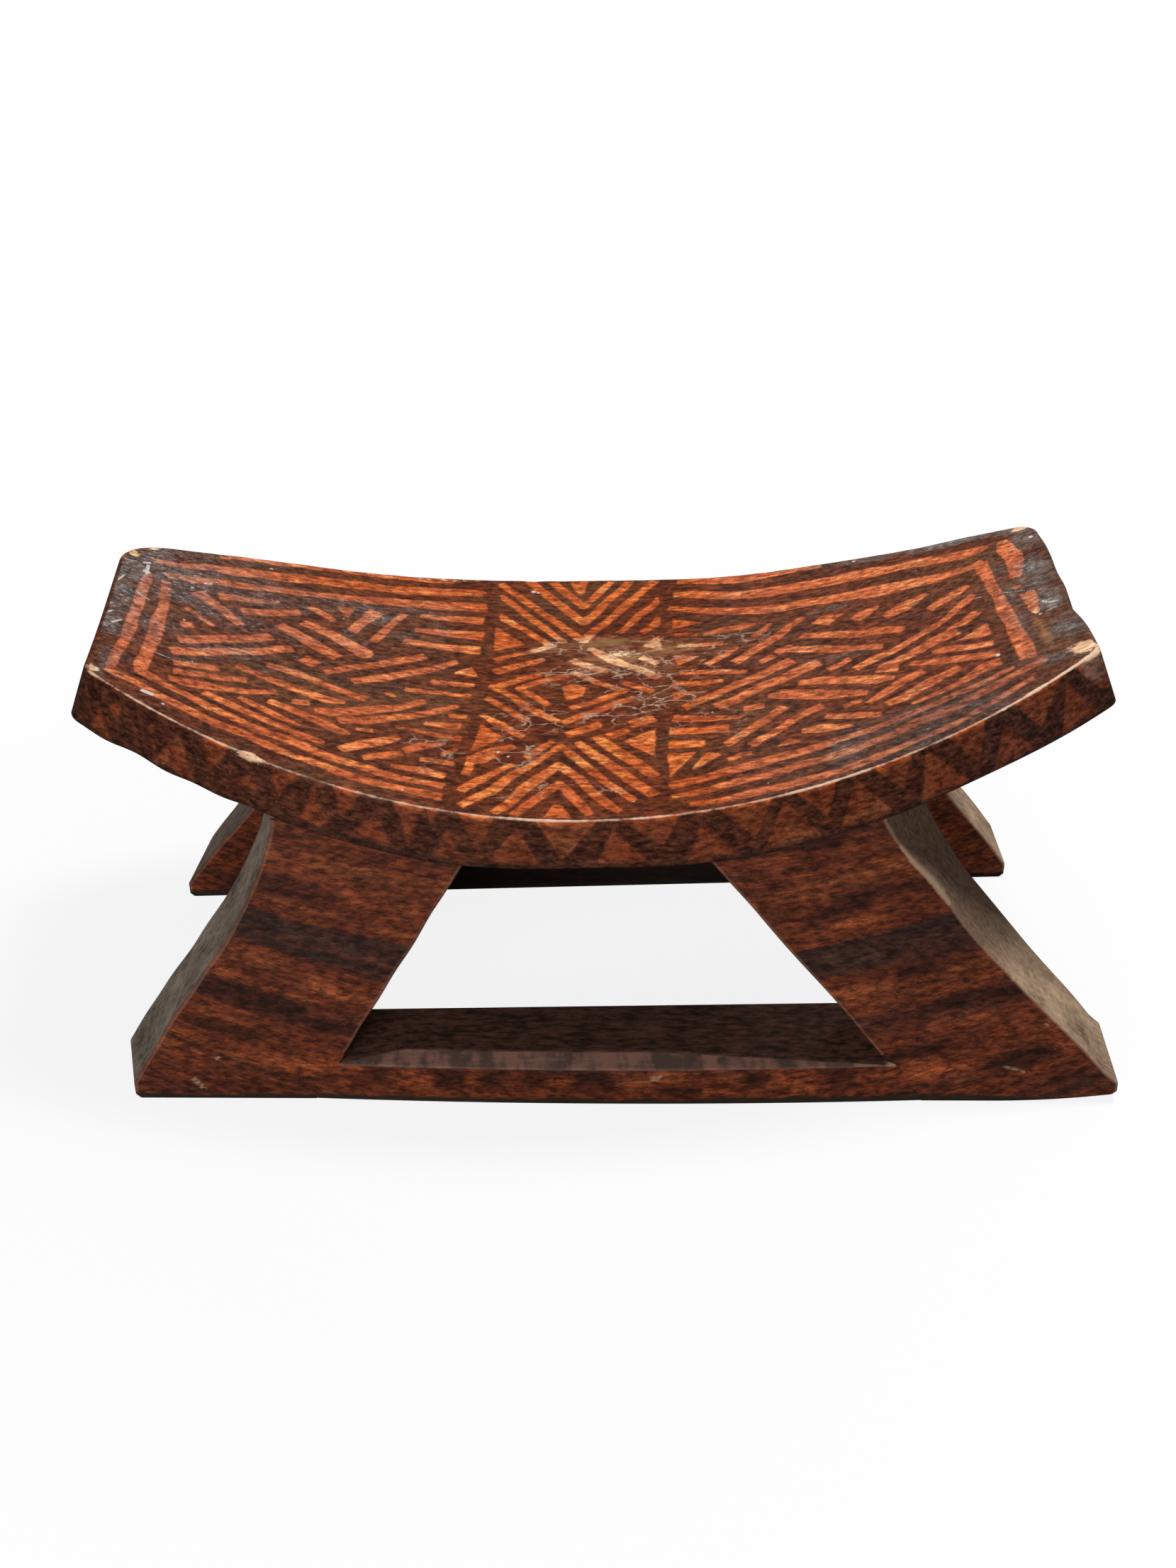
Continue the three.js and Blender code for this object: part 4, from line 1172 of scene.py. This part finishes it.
# Broad streaks of the block: how light its layers are, 0 to 1, by their height in mm
lowest, highest = -70, 120
layer_tones = [
    (-66, 0.5), (-54, 0.62), (-44, 0.4), (-30, 0.62), (-18, 0.45), (-6, 0.70), (8, 0.72),
    (18, 0.38), (28, 0.52), (38, 0.95), (46, 0.70), (52, 0.22), (60, 0.12), (66, 0.25),
    (72, 0.85), (80, 0.62), (86, 0.75), (96, 0.92), (103, 0.62), (120, 0.55),
]
bands = tree.nodes.new("ShaderNodeFloatCurve")
curve = bands.mapping.curves[0]
shares = [((height - lowest) / (highest - lowest), value) for height, value in layer_tones]
curve.points[0].location, curve.points[1].location = shares[0], shares[-1]
for share in shares[1:-1]:
    curve.points.new(*share)
bands.mapping.update()
lead(fade(layer, lowest, highest), bands.inputs[1])
band = plus(bands.outputs[0], times(plus(streak, mottle), 0.7, -0.7))
red = blend(fade(band, 0.12, 0.62, 0.85, 0.0), red, (0.030, 0.017, 0.014))
red = blend(fade(band, 0.78, 1.12, 0.0, 0.6), red, (0.33, 0.095, 0.028))
marked = times(plus(mottle, fibre), 0.8, maths("SUBTRACT", read["stain"], 0.8))
red = blend(fade(marked, 0.1, 0.7), red, (0.40, 0.44, 0.52), "MULTIPLY")
red = blend(fade(marked, -0.7, -0.1, 1.0, 0.0), red, (1.75, 1.8, 1.7), "MULTIPLY")
red = blend(1.0, red, use(grit, place)[0], "MULTIPLY")
red = blend(times(pore, 0.6), red, (0.016, 0.008, 0.006))

# The outer sides, left as the rasp left them: one wood, painted grey and dark as shade on the left
# legs and yellow-brown and light as light on the right ones
rasped = noise(place, (420, 800, 90), 4.0, 0.65)
rough = fade(plus(rasped, mottle), 0.75, 1.25)
shaded_rasped = blend(rough, (0.085, 0.065, 0.050), (0.42, 0.33, 0.255))
tan_wood = blend(rough, (0.16, 0.100, 0.060), (0.58, 0.40, 0.26))
aged = blend(read["side"], red, blend(read["tan"], shaded_rasped, tan_wood))
arris_share = use(wear, place, read["arris"], 0.25)[0]
aged = blend(times(arris_share, 0.3), aged, (0.42, 0.24, 0.17))

# Painted shade under the seat, the paler bevel of the runner, a dark band along the bottom few mm
# and the scratches
# Painted shade: dark wood where the seat shades, darkest on the back runner
soot = fade(plus(read["sooty"], times(mottle, 0.6)), 0.45, 0.9, 0.0, 0.92)
shaded_wood = blend(fade(plus(speckle, fibre), 0.85, 1.2), (0.036, 0.024, 0.017), (0.22, 0.098, 0.066))
shaded_wood = blend(fade(read["sooty"], 1.0, 1.5), shaded_wood, (0.010, 0.008, 0.007))
aged = blend(soot, aged, shaded_wood)
patchy = fade(times(speckle, 0.4, noise(place, (95, 40, 40), 3.0, 0.6)), 0.62, 0.78)
aged = blend(read["bevel"], aged, blend(patchy, (0.11, 0.066, 0.050), (0.29, 0.145, 0.105)))
foot = plus(read["height"], times(mottle, -6.0))
aged = blend(fade(foot, -1.0, 0.0, 0.93, 0.0), aged, (0.024, 0.022, 0.015))
scratched = fade(times(speckle, 2.4, read["scratch"]), 1.2, 2.0, 0.6, 0.0)
lead(blend(scratched, aged, (0.56, 0.38, 0.25)), shader.inputs["Base Color"])

matt = times(fibre, 0.2, fade(read["side"], 0.0, 1.0, 0.42, 0.7))
lead(matt, shader.inputs["Roughness"])
shader.inputs["Specular IOR Level"].default_value = 0.22
relief = plus(fibre, times(read["side"], rasped))
bump = add(tree, "ShaderNodeBump", relief_strength, relief_depth, None, relief)
lead(bump, shader.inputs["Normal"])
for name, leg in legs.items():
    made = make_leg(name + "_wood", leg)
    made.data.materials.append(frame_wood)
    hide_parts(name)
    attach(made, "root")


# The two runners

# Low bars between the feet of each pair of legs. The front one has a bevel struck along its
# upper edge, which runs out before it reaches the legs.

front_height = 18.0
bevel_depth = 7.0
bevel_end_depth = 0.5
runner_bow = 3.0
runner_let_in = 1.0


def runner_section(left, right, share):
    """The five corners of a runner's upright section at shares of its length, in mm: a bar with
    its outer face bowed and a bevel that fades in and out."""
    row, frame = left["row"], frames[left["row"]]
    bowed = 4 * runner_bow * share * (1 - share)
    cut = np.minimum(ramp(share, 0, 0.12), ramp(1 - share, 0, 0.4))
    depth = bevel_end_depth + (bevel_depth - bevel_end_depth) * cut
    bevel_top = front_height + (runner_height - front_height) * cut
    corners = []
    for number, z in enumerate((0, 0, front_height, bevel_top, runner_height)):
        z = z + 0 * share
        start = -leg_edges(left, z)[1] - runner_let_in
        stop = leg_edges(right, z)[1] + runner_let_in
        x = start + (stop - start) * share
        if number in (0, 4):
            y = inner_face(frame, x)
        else:
            y = outer_face(frame, x, np.minimum(z, front_height)) + bowed - depth * (number == 3)
        corners.append(np.stack([x + middle_shift, row * y, z], axis=-1))
    return np.stack(corners, axis=1)


def make_runner(name, left, right):
    """A runner as a loft of its sections along its length, closed at both ends."""
    row = left["row"]
    counts = np.array([12, 16, 5, 10, 8])
    corners = runner_section(left, right, np.linspace(0, 1, 161))
    outline, away = eased_outline(corners, np.full(corners.shape[:2], 0.5), counts)
    places, closed, caps = loft(outline)
    quads, caps = quads_of(closed), caps[:, ::-1]
    if row > 0:
        quads, caps = quads[:, ::-1], caps[:, ::-1]
    number = np.tile(np.repeat(np.arange(len(counts)), counts + 3), len(outline))
    on_side = np.append(number, [0, 0])
    # Painted shade under the seat: the front runner's top, and the whole back runner
    sooty = 0.9 * (on_side == 3) if row < 0 else 1.6 + 0 * on_side
    return make_piece(name, places, quads, caps, side=0 * on_side, tan=0 * on_side,
                      arris=np.append(away.ravel(), [20, 20]), bevel=on_side == 2, sooty=sooty,
                      height=places[:, 2], **stained(places, row))


for row in ("front", "back"):
    name = row + "_runner"
    made = make_runner(name + "_wood", legs[row + "_left_leg"], legs[row + "_right_leg"])
    made.data.materials.append(frame_wood)
    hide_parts(name)
    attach(made, "root")


# The room

# A plain pale floor, soft light from above and a little from the front, and the camera, which
# looks down on the stool from the middle of its front.

floor_mesh = bpy.data.meshes.new("floor")
floor_mesh.from_pydata([(-4, -4, 0), (4, -4, 0), (4, 4, 0), (-4, 4, 0)], [], [(0, 1, 2, 3)])
floor = bpy.data.objects.new("floor", floor_mesh)
bpy.context.scene.collection.objects.link(floor)
floor.location.z = -0.0005
floor_paint, tree, shader = new_tree("pale_floor")
rays = tree.nodes.new("ShaderNodeLightPath").outputs
shade = blend(rays["Is Glossy Ray"], (0.30, 0.29, 0.28), (0.08, 0.08, 0.08))
shade = blend(rays["Is Camera Ray"], shade, (0.9, 0.9, 0.9))
lead(shade, shader.inputs["Base Color"])
shader.inputs["Roughness"].default_value = 0.9
shader.inputs["Specular IOR Level"].default_value = 0.0

# Away from the stool the floor glows white to the camera, like the sheet under a studio shot
place = add(tree, "ShaderNodeTexCoord", output=3)
from_middle = add(tree, "ShaderNodeVectorMath", place, operation="LENGTH", output=1)
glowing = times(rays["Is Camera Ray"], fade(from_middle, 0.24, 0.5, 0.87, 1.0))
glow = tree.nodes.new("ShaderNodeEmission").outputs[0]
both = add(tree, "ShaderNodeMixShader", glowing, shader.outputs[0], glow)
lead(both, tree.nodes["Material Output"].inputs["Surface"])
floor_mesh.materials.append(floor_paint)
floor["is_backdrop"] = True

world = bpy.data.worlds.new("room")
bpy.context.scene.world = world
world.use_nodes = True
rays = world.node_tree.nodes.new("ShaderNodeLightPath").outputs
air = world.node_tree.nodes["Background"]
lead(times(rays["Is Camera Ray"], 0.88, 0.12), air.inputs["Strength"])
air.inputs["Color"].default_value = (1, 1, 1, 1)


def lamp(name, place, target, size, power):
    """A square soft lamp at a place, turned to face a target, both in metres."""
    light = bpy.data.lights.new(name, "AREA")
    light.size, light.energy = size, power
    holder = bpy.data.objects.new(name, light)
    bpy.context.scene.collection.objects.link(holder)
    holder.location = place
    holder.rotation_euler = (Vector(target) - Vector(place)).to_track_quat("-Z", "Y").to_euler()


lamp("overhead", (0.36, 0.14, 1.43), (0, 0, 0.1), size=0.28, power=17)
lamp("front", (-0.6, -1.55, 0.5), (0, 0, 0.1), size=1.0, power=13)
lamp("window", (0.85, 1.15, 0.85), (-0.1, 0, 0.15), size=0.5, power=1.8)

# The camera, as fitted to the photo: its angles, the point it looks at and its distance from it
# in metres, and its focal length and the photo's height in pixels
elevation, azimuth, roll = math.radians(31.6192), math.radians(-0.2467), math.radians(0.5428)
aim, distance = np.array([-0.0027838, 0, 0.0955877]), 0.7517272
focal_pixels, photo_pixels, sensor_width = 2400, 2212, 36
level = np.array([math.cos(azimuth), -math.sin(azimuth), 0])
ahead = np.array([math.sin(azimuth), math.cos(azimuth), 0])
forward = math.cos(elevation) * ahead - math.sin(elevation) * np.array([0, 0, 1])
upright = np.cross(level, forward)
turn = np.eye(4)
turn[:3, 0] = math.cos(roll) * level - math.sin(roll) * upright
turn[:3, 1] = math.sin(roll) * level + math.cos(roll) * upright
turn[:3, 2] = -forward
turn[:3, 3] = aim - distance * forward
camera_data = bpy.data.cameras.new("camera")
camera_data.sensor_width = sensor_width
camera_data.lens = focal_pixels * sensor_width / photo_pixels
camera_data.clip_start = 0.05
camera = bpy.data.objects.new("camera", camera_data)
bpy.context.scene.collection.objects.link(camera)
camera.matrix_world = turn.T.tolist()
bpy.context.scene.camera = camera
bpy.context.scene.view_settings.view_transform = "Standard"

low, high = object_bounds()
